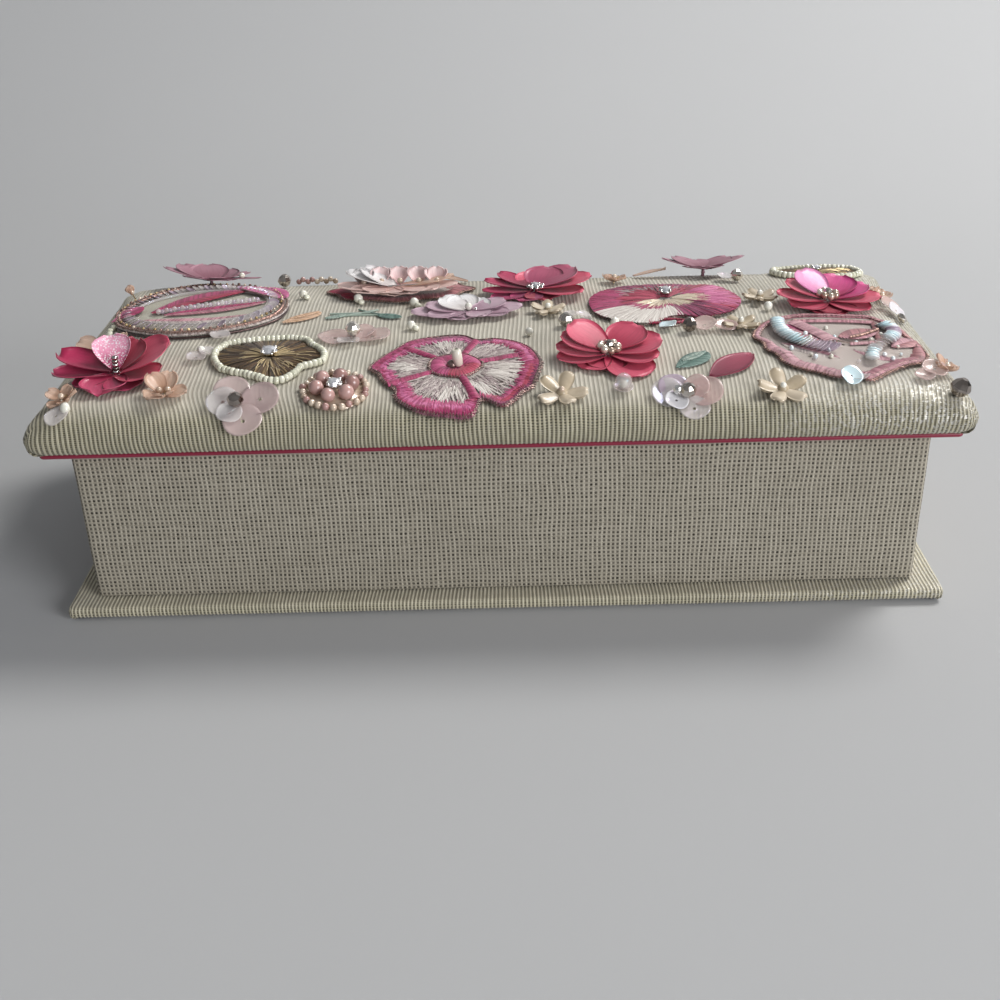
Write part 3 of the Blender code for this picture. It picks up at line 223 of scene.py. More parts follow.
def paint_linen():
    """Greige plain weave, with painted shade in the pin-holes between its threads."""
    paint = Paint("greige_linen", Roughness=0.85, Sheen_Weight=0.1)
    wobble = paint.noise(45.0, 2.0, where=paint.uv)
    shift = paint.times(wobble, 1.9 * MM)
    across, along, _ = paint.axes(paint.uv)
    across = paint.math("ADD", across, shift)
    along = paint.math("ADD", along, paint.times(shift, 0.8))
    warp = paint.wave(across, WEAVE_PITCH)
    weft = paint.wave(along, WEAVE_PITCH)
    warp_slub = paint.noise(1000.0, 2.0, stretch=(1.0, 0.06, 1.0), where=paint.uv)
    weft_slub = paint.noise(1000.0, 2.0, stretch=(0.06, 1.0, 1.0), where=paint.uv)
    # The pin-holes get painted shade, near black, weaker in random patches
    hole = paint.times(paint.math("SUBTRACT", 1.0, warp), paint.math("SUBTRACT", 1.0, weft))
    hole = paint.step(hole, 0.16, 0.62)
    hole_shade_patches = paint.step(paint.noise(560.0, 2.0, where=paint.uv), 0.30, 0.70)
    hole = paint.times(hole, paint.math("MULTIPLY_ADD", hole_shade_patches, 0.50, 0.50))
    yarn = paint.mix(warp_slub, (0.27, 0.24, 0.185), (0.56, 0.52, 0.43))
    cross = paint.mix(weft_slub, (0.19, 0.17, 0.128), (0.45, 0.415, 0.34))
    over = paint.step(paint.math("SUBTRACT", warp, weft), -0.25, 0.25)
    cloth = paint.mix(over, cross, yarn)
    cloth = paint.mix(hole, cloth, (0.028, 0.023, 0.014))
    tint = paint.mix(paint.noise(22.0, 4.0), (0.86, 0.85, 0.83), (1.10, 1.10, 1.10))
    paint.color(paint.mix(1.0, cloth, tint, "MULTIPLY"))
    height = paint.math("MAXIMUM", warp, weft)
    paint.bump(paint.math("SUBTRACT", height, hole), 0.14 * MM, 0.9)
    return paint.material


def paint_silk():
    """Hot pink silk with a fine slubbed weft."""
    paint = Paint("pink_silk", Roughness=0.42, Sheen_Weight=0.35, Sheen_Roughness=0.35,
                  Anisotropic=0.4)
    slub = paint.noise(420.0, 4.0, stretch=(0.05, 1.0, 1.0), where=paint.uv)
    broad = paint.noise(18.0, 3.0)
    cloth = paint.mix(paint.step(slub, 0.3, 0.7), (0.38, 0.010, 0.065), (0.56, 0.030, 0.12))
    cloth = paint.mix(paint.times(broad, 0.35), cloth, (0.34, 0.008, 0.07))
    # Painted shade: the rim attribute darkens the silk along the lid liner's edge, under the lid's
    # overhang
    paint.color(paint.mix(paint.times(paint.attribute("rim"), 0.75), cloth,
                          (0.16, 0.010, 0.022)))
    thread = paint.wave(paint.axes(paint.uv)[1], 0.35 * MM)
    paint.bump(paint.math("MULTIPLY_ADD", slub, 1.2, paint.times(thread, 0.3)),
               0.05 * MM, 0.7)
    return paint.material


def paint_plain(name, dark, light, scale, roughness, grain=0.05):
    """A mottled, slightly rough surface, such as board or paper."""
    paint = Paint(name, Roughness=roughness)
    mottle = paint.noise(scale, 5.0)
    fibre = paint.noise(scale * 9, 3.0, stretch=(1.0, 0.25, 1.0))
    share = paint.math("MULTIPLY_ADD", fibre, 0.5, paint.times(mottle, 0.5))
    paint.color(paint.mix(paint.step(share, 0.3, 0.7), dark, light))
    paint.bump(fibre, grain * MM, 0.6)
    return paint.material


def paint_petal(name, root, tip, roughness=0.42, alpha=1.0, painted_glints=0.0):
    """Cut cloth or film: one colour at the root and another at the tip, with fine streaks."""
    paint = Paint(name, Roughness=roughness, Sheen_Weight=0.06, Sheen_Roughness=0.4, Alpha=alpha)
    along = paint.axes(paint.uv)[1]
    streak = paint.noise(26.0, 3.0, stretch=(1.0, 0.10, 1.0), where=paint.uv)
    cloth = paint.mix(paint.step(along, 0.05, 0.85), root, tip)
    cloth = paint.mix(1.0, cloth, paint.mix(streak, (0.78, 0.76, 0.78), (1.2, 1.22, 1.2)),
                      "MULTIPLY")
    blotch = paint.noise(260.0, 3.0)
    cloth = paint.mix(paint.times(paint.step(blotch, 0.5, 0.7), 0.3), cloth, tip)
    # White flecks painted into the colour: painted glints
    if painted_glints:
        fleck = paint.step(paint.sparkle(3300.0), 0.72, 0.80)
        cloth = paint.mix(paint.times(fleck, painted_glints), cloth, (0.95, 0.90, 0.92))
    paint.color(cloth)
    paint.bump(paint.math("ADD", streak, paint.noise(2600.0, 2.0)), 0.05 * MM, 0.6)
    return paint.material


def paint_thread(name, dark, light, metallic=0.0, roughness=0.5):
    """Embroidery thread; each stitch has its own shade."""
    paint = Paint(name, Roughness=roughness, Metallic=metallic, Sheen_Weight=0.2)
    shade = paint.attribute("shade")
    ply = paint.noise(3000.0, 2.0)
    share = paint.math("MULTIPLY_ADD", ply, 0.45, paint.times(shade, 0.65))
    paint.color(paint.mix(paint.step(share, 0.15, 0.85), dark, light))
    paint.bump(ply, 0.04 * MM, 0.7)
    return paint.material


def paint_bead(name, dark, light, roughness=0.2, metallic=0.0, coat=0.5, film=0.0, alpha=1.0):
    """A glossy bead, pearl, sequin or stone, mottled between two colours."""
    paint = Paint(name, Roughness=roughness, Metallic=metallic, Coat_Weight=coat,
                  Coat_Roughness=0.08, Thin_Film_Thickness=film, Alpha=alpha)
    mottle = paint.noise(420.0, 2.0)
    share = paint.math("MULTIPLY_ADD", paint.attribute("shade"), 0.6, paint.times(mottle, 0.4))
    paint.color(paint.mix(paint.step(share, 0.15, 0.85), dark, light))
    return paint.material


def paint_net(name, hole, thread, pitch):
    """Open net or stitched mesh ground."""
    paint = Paint(name, Roughness=0.7, Sheen_Weight=0.1)
    across, along, _ = paint.axes(paint.place)
    first = paint.wave(paint.math("ADD", across, along), pitch)
    second = paint.wave(paint.math("SUBTRACT", across, along), pitch)
    line = paint.step(paint.math("MAXIMUM", first, second), 0.72, 0.92)
    mottle = paint.noise(150.0, 3.0)
    paint.color(paint.mix(line, hole, paint.mix(mottle, thread, (0.74, 0.72, 0.64))))
    paint.bump(line, 0.12 * MM, 0.8)
    return paint.material


# Finishes: each is a material and the name of the slot it belongs to

FINISHES = {
    "gauze": (paint_gauze("gauze", 1.0, RIB_PITCH), "ribbed_gauze"),
    # The base's gauze is the lid's cloth painted 1.28 times lighter: painted light
    "base_gauze": (paint_gauze("base_gauze", 1.28, BASE_RIB_PITCH), "ribbed_gauze"),
    "linen": (paint_linen(), "greige_linen"),
    "silk": (paint_silk(), "pink_silk"),
}
FINISH_ROWS = (
    (paint_plain, "board", {"board": ((0.20, 0.17, 0.13), (0.38, 0.33, 0.26), 60, 0.9)}),
    (paint_plain, "lining_paper", {"paper": ((0.40, 0.37, 0.31), (0.52, 0.49, 0.43), 40, 0.85)}),
    (paint_plain, "wadding", {"wadding": ((0.66, 0.65, 0.62), (0.84, 0.83, 0.80), 90, 0.95, 0.3)}),
    (paint_thread, "ivory_beads", {
        "bronze_thread": ((0.030, 0.016, 0.006), (0.33, 0.21, 0.085), 0.6, 0.35),
        "bronze_dark": ((0.020, 0.012, 0.006), (0.16, 0.09, 0.045), 0.5, 0.4),
    }),
    (paint_thread, "magenta_embroidery", {
        "magenta": ((0.19, 0.006, 0.045), (0.45, 0.042, 0.15)),
        "crimson": ((0.20, 0.006, 0.03), (0.47, 0.045, 0.10)),
        "hot_pink": ((0.29, 0.024, 0.095), (0.57, 0.10, 0.24)),
        "ivory_thread": ((0.27, 0.21, 0.20), (0.63, 0.55, 0.51)),
        "gold_thread": ((0.25, 0.15, 0.05), (0.74, 0.58, 0.32), 0.6, 0.38),
        "copper_thread": ((0.10, 0.045, 0.035), (0.46, 0.28, 0.23), 0.65, 0.35),
        "hot_light": ((0.34, 0.038, 0.14), (0.66, 0.18, 0.36)),
        "grey_thread": ((0.16, 0.10, 0.11), (0.42, 0.33, 0.33)),
        "white_thread": ((0.50, 0.44, 0.40), (0.80, 0.75, 0.69)),
        "plum_thread": ((0.10, 0.012, 0.045), (0.34, 0.05, 0.14)),
        "gold_cream": ((0.48, 0.36, 0.24), (0.84, 0.74, 0.58), 0.35, 0.35),
        "dark_metal": ((0.05, 0.03, 0.03), (0.50, 0.34, 0.30), 0.7, 0.32),
    }),
    (paint_thread, "peach_thread", {
        "peach_leaf": ((0.46, 0.27, 0.15), (0.68, 0.46, 0.31)),
    }),
    (paint_thread, "rose_embroidery", {
        "rose_thread": ((0.23, 0.065, 0.095), (0.54, 0.24, 0.28)),
        "rose_light": ((0.30, 0.12, 0.15), (0.63, 0.35, 0.39)),
        "dusty_thread": ((0.20, 0.06, 0.075), (0.48, 0.20, 0.21)),
    }),
    (paint_thread, "teal_thread", {
        "teal": ((0.03, 0.09, 0.075), (0.14, 0.24, 0.20)),
        "pale_teal": ((0.16, 0.24, 0.205), (0.33, 0.41, 0.35)),
    }),
    (paint_net, "magenta_embroidery", {
        "net": ((0.34, 0.31, 0.24), (0.56, 0.55, 0.44), 0.9 * MM),
        "stitched_mesh": ((0.30, 0.24, 0.23), (0.62, 0.57, 0.53), 0.7 * MM),
    }),
    (paint_net, "rose_embroidery", {
        "rose_net": ((0.36, 0.27, 0.25), (0.62, 0.53, 0.49), 0.8 * MM),
    }),
    (paint_petal, "blush_organza", {
        "blush": ((0.63, 0.36, 0.31), (0.80, 0.58, 0.53), 0.4, 0.88),
        "white_petal": ((0.72, 0.66, 0.64), (0.88, 0.86, 0.86), 0.25, 0.9),
        "blush_stand": ((0.78, 0.50, 0.49), (0.90, 0.72, 0.71), 0.35, 0.92),
    }),
    (paint_petal, "coral_satin", {
        "coral": ((0.37, 0.015, 0.054), (0.62, 0.09, 0.155)),
        # A darker copy of coral for petals that lie in shade: painted shade
        "dark_coral": ((0.19, 0.009, 0.024), (0.40, 0.05, 0.085)),
        "pale_hot": ((0.56, 0.14, 0.34), (0.74, 0.28, 0.50), 0.35),
        "cerise": ((0.28, 0.018, 0.055), (0.50, 0.062, 0.14), 0.34),
        "hot_petal": ((0.34, 0.008, 0.075), (0.63, 0.065, 0.25)),
        # A lighter pink copy of the satin with white flecks: a painted satin highlight
        "pale_petal": ((0.55, 0.10, 0.22), (0.86, 0.40, 0.55), 0.35, 1.0, 0.8),
    }),
    (paint_petal, "crimson_satin", {
        "rosy": ((0.31, 0.04, 0.10), (0.46, 0.105, 0.18), 0.36),
        "plum": ((0.16, 0.015, 0.06), (0.42, 0.06, 0.15)),
        "dark_petal": ((0.12, 0.003, 0.02), (0.40, 0.022, 0.085)),
        "pink_leaf": ((0.17, 0.010, 0.035), (0.30, 0.03, 0.072)),
    }),
    (paint_petal, "mauve_organza", {
        "mauve": ((0.26, 0.095, 0.13), (0.385, 0.19, 0.24), 0.5, 0.93),
        "lilac": ((0.45, 0.27, 0.35), (0.61, 0.43, 0.51), 0.3, 0.86),
    }),
    (paint_petal, "peach_resin", {
        "peach_film": ((0.54, 0.31, 0.20), (0.76, 0.53, 0.40), 0.32, 0.60),
    }),
    (paint_bead, "clear_sequin", {
        "clear_cup": ((0.66, 0.60, 0.58), (0.86, 0.82, 0.80), 0.12, 0.0, 0.9, 380.0, 0.40),
        "lilac_cup": ((0.54, 0.42, 0.52), (0.80, 0.70, 0.78), 0.14, 0.1, 0.7, 420.0, 0.62),
        "white_cup": ((0.78, 0.76, 0.78), (0.92, 0.92, 0.92), 0.20, 0.0, 0.5, 360.0, 0.86),
        "ice_cup": ((0.72, 0.90, 0.94), (0.94, 0.99, 0.98), 0.18, 0.15, 0.8, 360.0),
    }),
    (paint_bead, "cream_resin", {
        "cream_resin": ((0.39, 0.31, 0.20), (0.59, 0.50, 0.38), 0.38, 0.0, 0.25),
    }),
    (paint_bead, "ivory_beads", {
        "seed": ((0.62, 0.62, 0.48), (0.80, 0.79, 0.66), 0.16),
    }),
    (paint_bead, "magenta_embroidery", {
        "ivory_bead": ((0.60, 0.54, 0.44), (0.80, 0.76, 0.66), 0.14),
    }),
    (paint_bead, "mauve_sequin", {
        "mauve_cup": ((0.51, 0.37, 0.37), (0.66, 0.52, 0.50), 0.22, 0.0, 0.5, 0.0, 0.58),
    }),
    (paint_bead, "pink_sequin", {
        "pink_cup": ((0.63, 0.44, 0.42), (0.77, 0.59, 0.55), 0.20, 0.0, 0.5, 0.0, 0.50),
    }),
    (paint_bead, "rose_pearl", {
        "rose_pearl": ((0.34, 0.19, 0.17), (0.52, 0.32, 0.29), 0.25),
        "cream_pearl": ((0.54, 0.41, 0.31), (0.76, 0.65, 0.53), 0.18, 0.15),
        "white_pearl": ((0.68, 0.66, 0.56), (0.84, 0.83, 0.75), 0.18),
    }),
    (paint_bead, "silver", {
        "silver_pearl": ((0.48, 0.36, 0.28), (0.80, 0.72, 0.62), 0.16, 0.55),
        "silver": ((0.50, 0.49, 0.47), (0.86, 0.85, 0.83), 0.16, 1.0, 0.0),
        "bead_silver": ((0.24, 0.20, 0.18), (0.82, 0.77, 0.70), 0.10, 1.0, 0.0),
        "gunmetal": ((0.10, 0.09, 0.08), (0.50, 0.47, 0.43), 0.12, 0.9, 0.3),
        # The crystal's dark-to-light mottle stands in for its facets' reflections: painted reflection
        "crystal": ((0.30, 0.31, 0.33), (0.95, 0.96, 1.0), 0.05, 0.65, 1.0),
    }),
)
for paint, slot, rows in FINISH_ROWS:
    FINISHES.update({name: (paint(name, *values), slot) for name, values in rows.items()})


# Meshes

def grid_faces(rows, columns, around=False, skip=None):
    """Quads of a grid of points; around closes it along the columns."""
    wide = columns if around else columns - 1
    down, over = np.meshgrid(np.arange(rows - 1), np.arange(wide), indexing="ij")
    if skip is not None:
        kept = ~skip(down, over)
        down, over = down[kept], over[kept]
    down, over = down.ravel(), over.ravel()
    beside = (over + 1) % columns
    return np.stack([down * columns + over, down * columns + beside,
                     (down + 1) * columns + beside, (down + 1) * columns + over], axis=1)


def new_mesh(name, points, faces, uv=None, smooth=True, values=None):
    """A mesh object from arrays; uv and values hold one entry for each point."""
    mesh = bpy.data.meshes.new(name)
    faces = [list(map(int, face)) for face in faces]
    mesh.from_pydata([tuple(point) for point in np.asarray(points, float)], [], faces)
    corners = np.zeros(len(mesh.loops), np.int32)
    mesh.loops.foreach_get("vertex_index", corners)
    if uv is not None:
        layer = mesh.uv_layers.new(name="cloth")
        layer.data.foreach_set("uv", np.asarray(uv, np.float32)[corners].ravel())
    for key, data in (values or {}).items():
        attribute = mesh.attributes.new(key, "FLOAT", "POINT")
        attribute.data.foreach_set("value", np.asarray(data, np.float32).ravel())
    flags = np.broadcast_to(np.asarray(smooth, bool), (len(mesh.polygons),))
    mesh.polygons.foreach_set("use_smooth", flags)
    mesh.update()
    piece = bpy.data.objects.new(name, mesh)
    bpy.context.scene.collection.objects.link(piece)
    return piece


def grid_mesh(name, points, uv, **values):
    """A mesh from a grid of points, rows by columns, with uv for each."""
    return new_mesh(name, points.reshape(-1, 3), grid_faces(*points.shape[:2]),
                    np.reshape(uv, (-1, 2)), values=values)


def dress(piece, finish, body=None, nodes=()):
    """Give a piece its finish and its body, and hide the nodes it stands for."""
    material, slot = FINISHES[finish]
    piece.data.materials.append(material)
    if body:
        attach(piece, body)
    if nodes:
        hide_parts(*nodes)


def normals_of(points):
    """Unit normals of a grid of points, rows by columns."""
    down = np.gradient(points, axis=0)
    over = np.gradient(points, axis=1)
    normal = np.cross(over, down)
    return normal / np.maximum(np.linalg.norm(normal, axis=2, keepdims=True), 1e-12)


def run_along(points):
    """The distance along a line of points, at each of them."""
    return np.concatenate([[0.0], np.cumsum(np.linalg.norm(np.diff(points, axis=0), axis=1))])


def arc(edge, angles):
    """A quarter round: (how far in it still has to go, how far in it has come up)."""
    turns = np.radians(angles)
    return list(zip(edge * (1 - np.sin(turns)), edge * (1 - np.cos(turns))))


class Wrap:
    """A cloth wrapped over a box with round corners: places on the flat cloth to places in space.

    The section is a list of (inset, level) points from the cloth's edge inwards. Each thread
    keeps its own line, and only at the corners is the cloth eased round.
    """

    def __init__(self, low, high, section, corner, growth):
        self.half_x, self.half_y = (high.x - low.x) / 2, (high.y - low.y) / 2
        self.middle = (high.y + low.y) / 2
        self.corner, self.growth = corner, growth
        self.insets = np.array([inset for inset, _ in section])
        self.levels = np.array([level for _, level in section])
        self.run = run_along(np.array(section))
        self.widest = int(np.argmin(self.insets))
        over = self.run[-1] - self.insets[-1]
        self.cloth_x, self.cloth_y = self.half_x + over, self.half_y + over

    def edge_distance(self, s, t):
        return np.minimum(self.cloth_x - np.abs(s), self.cloth_y - np.abs(t))

    def drawn_in(self, edge):
        """How far the cloth has drawn in from the box's outline, this far from its own edge."""
        return np.interp(edge, self.run, self.insets) + np.maximum(edge - self.run[-1], 0.0)

    def ring_inset(self, x, y):
        """Which of the round-cornered rings passes through a place seen from above."""
        low, high = np.zeros_like(x), np.full_like(x, self.insets[-1])
        for _ in range(22):
            inset = (low + high) / 2
            radius = np.minimum(self.corner + self.growth * inset,
                                self.half_y - END_STRAIGHT - inset)
            past_x = np.abs(x) - (self.half_x - inset - radius)
            past_y = np.abs(y) - (self.half_y - inset - radius)
            reach = (np.hypot(np.maximum(past_x, 0), np.maximum(past_y, 0))
                     + np.minimum(np.maximum(past_x, past_y), 0))
            outside = reach > radius
            high, low = np.where(outside, inset, high), np.where(outside, low, inset)
        return (low + high) / 2

    def place(self, s, t):
        """Places in space, as an array with a last axis of three."""
        edge = self.edge_distance(s, t)
        inset_x = self.drawn_in(self.cloth_x - np.abs(s))
        inset_y = self.drawn_in(self.cloth_y - np.abs(t))
        below = edge < self.run[self.widest]
        ring = np.where(below, self.drawn_in(edge), 0.0)
        radius = self.corner + min(self.growth, TUCK_GROWTH) * ring
        x, y = self.half_x - inset_x, self.half_y - inset_y
        over_x = np.maximum(x - (self.half_x - ring - radius), 0.0) / radius
        over_y = np.maximum(y - (self.half_y - ring - radius), 0.0) / radius
        both = np.minimum(over_x, over_y) > 0
        squeeze = np.where(both, np.maximum(over_x, over_y)
                           / np.maximum(np.hypot(over_x, over_y), 1e-9), 1.0)
        x = np.where(both, self.half_x - ring - radius + radius * over_x * squeeze, x)
        y = np.where(both, self.half_y - ring - radius + radius * over_y * squeeze, y)
        top = np.interp(self.ring_inset(x, y), self.insets[self.widest:],
                        self.levels[self.widest:])
        level = np.where(below, np.interp(edge, self.run, self.levels), top)
        return np.stack([np.sign(s) * x, self.middle + np.sign(t) * y, level], axis=-1)


def cubic_rows(coarse, fine):
    """Weights that carry values at evenly spaced places to finer ones, smoothly."""
    step = coarse[1] - coarse[0]
    place = (np.asarray(fine) - coarse[0]) / step
    base = np.clip(np.floor(place).astype(int), 0, len(coarse) - 2)
    f = place - base
    weights = np.zeros((len(fine), len(coarse)))
    rows = np.arange(len(fine))
    for offset, value in ((-1, -0.5 * f + f**2 - 0.5 * f**3), (0, 1 - 2.5 * f**2 + 1.5 * f**3),
                          (1, 0.5 * f + 2 * f**2 - 1.5 * f**3), (2, -0.5 * f**2 + 0.5 * f**3)):
        np.add.at(weights, (rows, np.clip(base + offset, 0, len(coarse) - 1)), value)
    return weights


def smoothstep(value, low, high):
    share = np.clip((value - low) / (high - low), 0.0, 1.0)
    return share * share * (3 - 2 * share)


def grid_lines(half, fine, coarse, border):
    """Places from -half to half: fine steps in both borders and coarse ones between."""
    edge = np.arange(0.0, border, fine)
    middle = np.linspace(-half + border, half - border,
                         max(2, int(2 * (half - border) / coarse) + 1))
    return np.concatenate([-half + edge, middle, (half - edge)[::-1]])


# The case

def make_base_gauze():
    """Gauze round the base board, turned under it."""
    low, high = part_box("base_cover")
    edge = 1.1 * MM
    section = [(14.0 * MM, low.z), (edge, low.z)]
    section += [(a, low.z + b) for a, b in arc(edge, range(15, 91, 25))]
    section += [(b, high.z - a) for a, b in arc(edge, range(0, 91, 18))]
    wrap = Wrap(low, high, section, 1.6 * MM, 0.6)
    step = BASE_RIB_PITCH / RIB_STEPS
    columns = int(wrap.cloth_x / step)
    s = np.arange(-columns, columns + 1) * step
    t = grid_lines(wrap.cloth_y, 0.9 * MM, 40 * MM, 27 * MM)
    grid_s, grid_t = np.meshgrid(s, t)
    lean = 0.8 * MM * np.sin(grid_s / (17 * MM)) * smoothstep(np.abs(grid_t), 40 * MM, 60 * MM)
    points = wrap.place(grid_s + lean, grid_t)
    normal = normals_of(points)
    rib = RIB_HEIGHT * (0.5 + 0.5 * np.cos(TURN * grid_s / BASE_RIB_PITCH))
    under = wrap.edge_distance(grid_s, grid_t) < 13 * MM
    points = points + normal * np.where(under, 0.0, rib - RIB_HEIGHT)[..., None]
    # Painted shade: roll darkens the whole base cloth, and more on its rounded edge and upright sides
    side_shade = 1 - smoothstep(wrap.edge_distance(grid_s, grid_t), 15 * MM, 19 * MM)
    metal = smoothstep(grid_s, 40 * MM, 110 * MM) * 0.6 + 0.1
    piece = grid_mesh("base_gauze", points, np.stack([grid_s, grid_t], axis=-1),
                      roll=0.62 + 0.2 * side_shade, metal=metal)
    dress(piece, "base_gauze", "case", ["base_cover"])


def make_spine_gauze():
    """One strip of gauze over the spine and across the hinge to the lid's underside."""
    low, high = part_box("spine_cloth")
    leaf_low, leaf_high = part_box("hinge_cloth")
    half, end = (high.x - low.x) / 2, (high.x - low.x) / 2 - 6.9 * MM
    round_edge = 0.9 * MM
    line = [(end, low.y), (half - round_edge, low.y)]
    line += [(half - a, low.y + b) for a, b in arc(round_edge, range(0, 91, 30))]
    line += [(half - b, high.y - a) for a, b in arc(round_edge, range(0, 91, 30))]
    line = np.array(line)
    step = RIB_PITCH / RIB_STEPS
    columns = int((half - round_edge) / step)
    back_x = np.arange(columns, -columns - 1, -1) * step
    back = np.stack([back_x, np.full(len(back_x), high.y)], axis=1)
    path = np.concatenate([line[:-1], back, (line[:-1] * (-1, 1))[::-1]])
    run = run_along(path)
    run -= run[-1] / 2
    levels = list(np.linspace(low.z, high.z, 19))
    rows = [(level, 0.0) for level in levels]
    top = leaf_high.z
    fold = high.y - leaf_low.y
    rows += [(high.z + (top - high.z) * share, 0.0) for share in (0.35, 0.7)]
    rows += [(top - 0.1 * MM, 0.35 * MM), (top, 0.9 * MM), (top, fold)]
    points = np.zeros((len(rows), len(path), 3))
    for row, (level, inward) in enumerate(rows):
        points[row, :, 0] = path[:, 0]
        points[row, :, 1] = path[:, 1] - inward
        points[row, :, 2] = level
    is_back = np.zeros(len(path), bool)
    is_back[len(line) - 1:len(line) - 1 + len(back_x)] = True
    rib = RIB_HEIGHT * (0.5 + 0.5 * np.cos(TURN * path[:, 0] / RIB_PITCH)) - RIB_HEIGHT
    bulge = 0.5 + 0.5 * np.sin(points[:, :, 2] * 90 + points[:, :, 0] * 35)
    points[:, :, 1] += np.where(is_back, rib, 0.0)
    points[:len(levels), :, 1] -= 0.12 * MM * (bulge * is_back)[:len(levels)]
    height = run_along(points[:, len(path) // 2])
    uv = np.zeros((len(rows), len(path), 2))
    uv[:, :, 0] = np.where(is_back, path[:, 0], -run)
    uv[:, :, 1] = height[:, None]
    faces = grid_faces(len(rows), len(path), skip=lambda down, over: (
        (down >= len(levels) - 1) & ~(is_back[over] & is_back[np.minimum(over + 1, len(path) - 1)])))
    used = sorted({int(index) for face in faces for index in face})
    renumber = {old: new for new, old in enumerate(used)}
    faces = [[renumber[int(index)] for index in reversed(face)] for face in faces]
    flat_points = points.reshape(-1, 3)[used]
    # A roll of 0.45 paints shade over the whole upright spine cloth
    piece = new_mesh("spine_gauze", flat_points, faces, uv.reshape(-1, 2)[used],
                     values={"roll": np.full(len(used), 0.45),
                             "metal": np.full(len(used), 0.25)})
    dress(piece, "gauze", None, ["spine_cloth", "hinge_cloth"])
    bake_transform(piece)


def rounded_loop(half_x, half_y, radius, steps, side_x, side_y):
    """Points once round a rectangle with round corners, with the distance along it."""
    points = []
    corners = ((1, 1, 0), (-1, 1, 90), (-1, -1, 180), (1, -1, 270))
    for index, (side_a, side_b, start) in enumerate(corners):
        centre = Vector((side_a * (half_x - radius), side_b * (half_y - radius)))
        for step in range(steps + 1):
            angle = math.radians(start + 90 * step / steps)
            points.append((centre.x + radius * math.cos(angle),
                           centre.y + radius * math.sin(angle)))
        following = corners[(index + 1) % 4]
        beyond = Vector((following[0] * (half_x - radius), following[1] * (half_y - radius)))
        angle = math.radians(start + 90)
        shift = Vector((radius * math.cos(angle), radius * math.sin(angle)))
        count = side_x if index % 2 == 0 else side_y
        for step in range(1, count):
            points.append(tuple(centre.lerp(beyond, step / count) + shift))
    points = np.array(points)
    points = np.concatenate([points, points[:1]])
    return points, run_along(points)


def make_tray_linen():
    """Linen over the tray's walls, over the rim and down inside."""
    low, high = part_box("tray_cloth")
    half_x, half_y = (high.x - low.x) / 2, (high.y - low.y) / 2
    middle = (high.y + low.y) / 2
    rim = 3.6 * MM
    edge = 0.9 * MM
    section = [(8.0 * MM, low.z), (edge, low.z)]
    section += [(a, low.z + b) for a, b in arc(edge, range(30, 91, 30))]
    walls = 14
    for step in range(1, walls):
        section.append((0.0, low.z + edge + (high.z - low.z - 2 * edge) * step / walls))
    quarter = arc(edge, range(0, 91, 30))
    section += [(b, high.z - a) for a, b in quarter] + [(rim - a, high.z - b) for a, b in quarter]
    section.append((rim, high.z - 12.0 * MM))
    rows, uv = [], []
    run = rounded_loop(half_x, half_y, 1.6 * MM, 5, 90, 42)[1]
    heights = run_along(np.array(section))
    for (inset, level), up in zip(section, heights):
        corner = max(1.6 * MM - inset, 0.4 * MM)
        ring = rounded_loop(half_x - inset, half_y - inset, corner, 5, 90, 42)[0]
        rows.append(np.column_stack([ring[:, 0], ring[:, 1] + middle,
                                     np.full(len(ring), level)]))
        uv.append(np.column_stack([run, np.full(len(run), up)]))
    points = np.array(rows)
    normal = normals_of(points)
    ripple = (np.sin(points[:, :, 0] * 61 + 1.7 * np.sin(points[:, :, 2] * 95))
              * np.sin(points[:, :, 2] * 120 + points[:, :, 0] * 23) * 0.10 * MM)
    on_wall = (points[:, :, 2] > low.z + 2 * edge) & (points[:, :, 2] < high.z - 2 * edge)
    points = points - normal * (np.abs(ripple) * on_wall)[..., None]
    piece = grid_mesh("tray_linen", points, uv)
    dress(piece, "linen", "case", ["tray_cloth"])


def make_card(node, body, edge=0.5 * MM, rim=0.0):
    """A silk-covered card: a slab with round edges."""
    low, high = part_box(node)
    size = high - low
    thin = min(range(3), key=lambda axis: size[axis])
    wide, tall = [axis for axis in range(3) if axis != thin]
    edge = min(edge, size[thin] / 2)
    section = []
    for angle in range(-90, 91, 30):
        turn = math.radians(angle)
        section.append((edge * (1 - math.cos(turn)),
                        (size[thin] / 2 - edge) * (1 if angle > 0 else -1 if angle < 0 else 0)
                        + edge * math.sin(turn)))
    inner = (0.18, 0.5, 0.9)
    half_w, half_t = size[wide] / 2, size[tall] / 2
    rings = [(share * half_t, -size[thin] / 2) for share in reversed(inner)] + section
    rings += [(share * half_t, size[thin] / 2) for share in inner]
    rows, uv, rims = [], [], []
    for inset, level in rings:
        ring = rounded_loop(half_w - inset, half_t - inset,
                            max(1.5 * MM - inset, 0.3 * MM), 4, 24, 10)[0]
        place = np.zeros((len(ring), 3))
        place[:, wide], place[:, tall], place[:, thin] = ring[:, 0], ring[:, 1], level
        rows.append(place + np.array((low + high) / 2))
        uv.append(np.column_stack([ring[:, 0], ring[:, 1] + level]))
        # rim sets the outer band's painted shade in the silk
        rims.append(np.full(len(ring), rim if inset < 1.0 * MM else 0.0))
    points = np.array(rows)
    faces = [list(face) for face in grid_faces(len(rings), points.shape[1])]
    count = points.shape[1]
    faces.append([int(index) for index in range(count - 1)][::-1])
    faces.append([(len(rings) - 1) * count + index for index in range(count - 1)])
    if thin == 1:
        faces = [list(reversed(face)) for face in faces]
    piece = new_mesh(node + "_silk", points.reshape(-1, 3), faces, np.array(uv).reshape(-1, 2),
                     values={"rim": rims})
    dress(piece, "silk", body, [node])


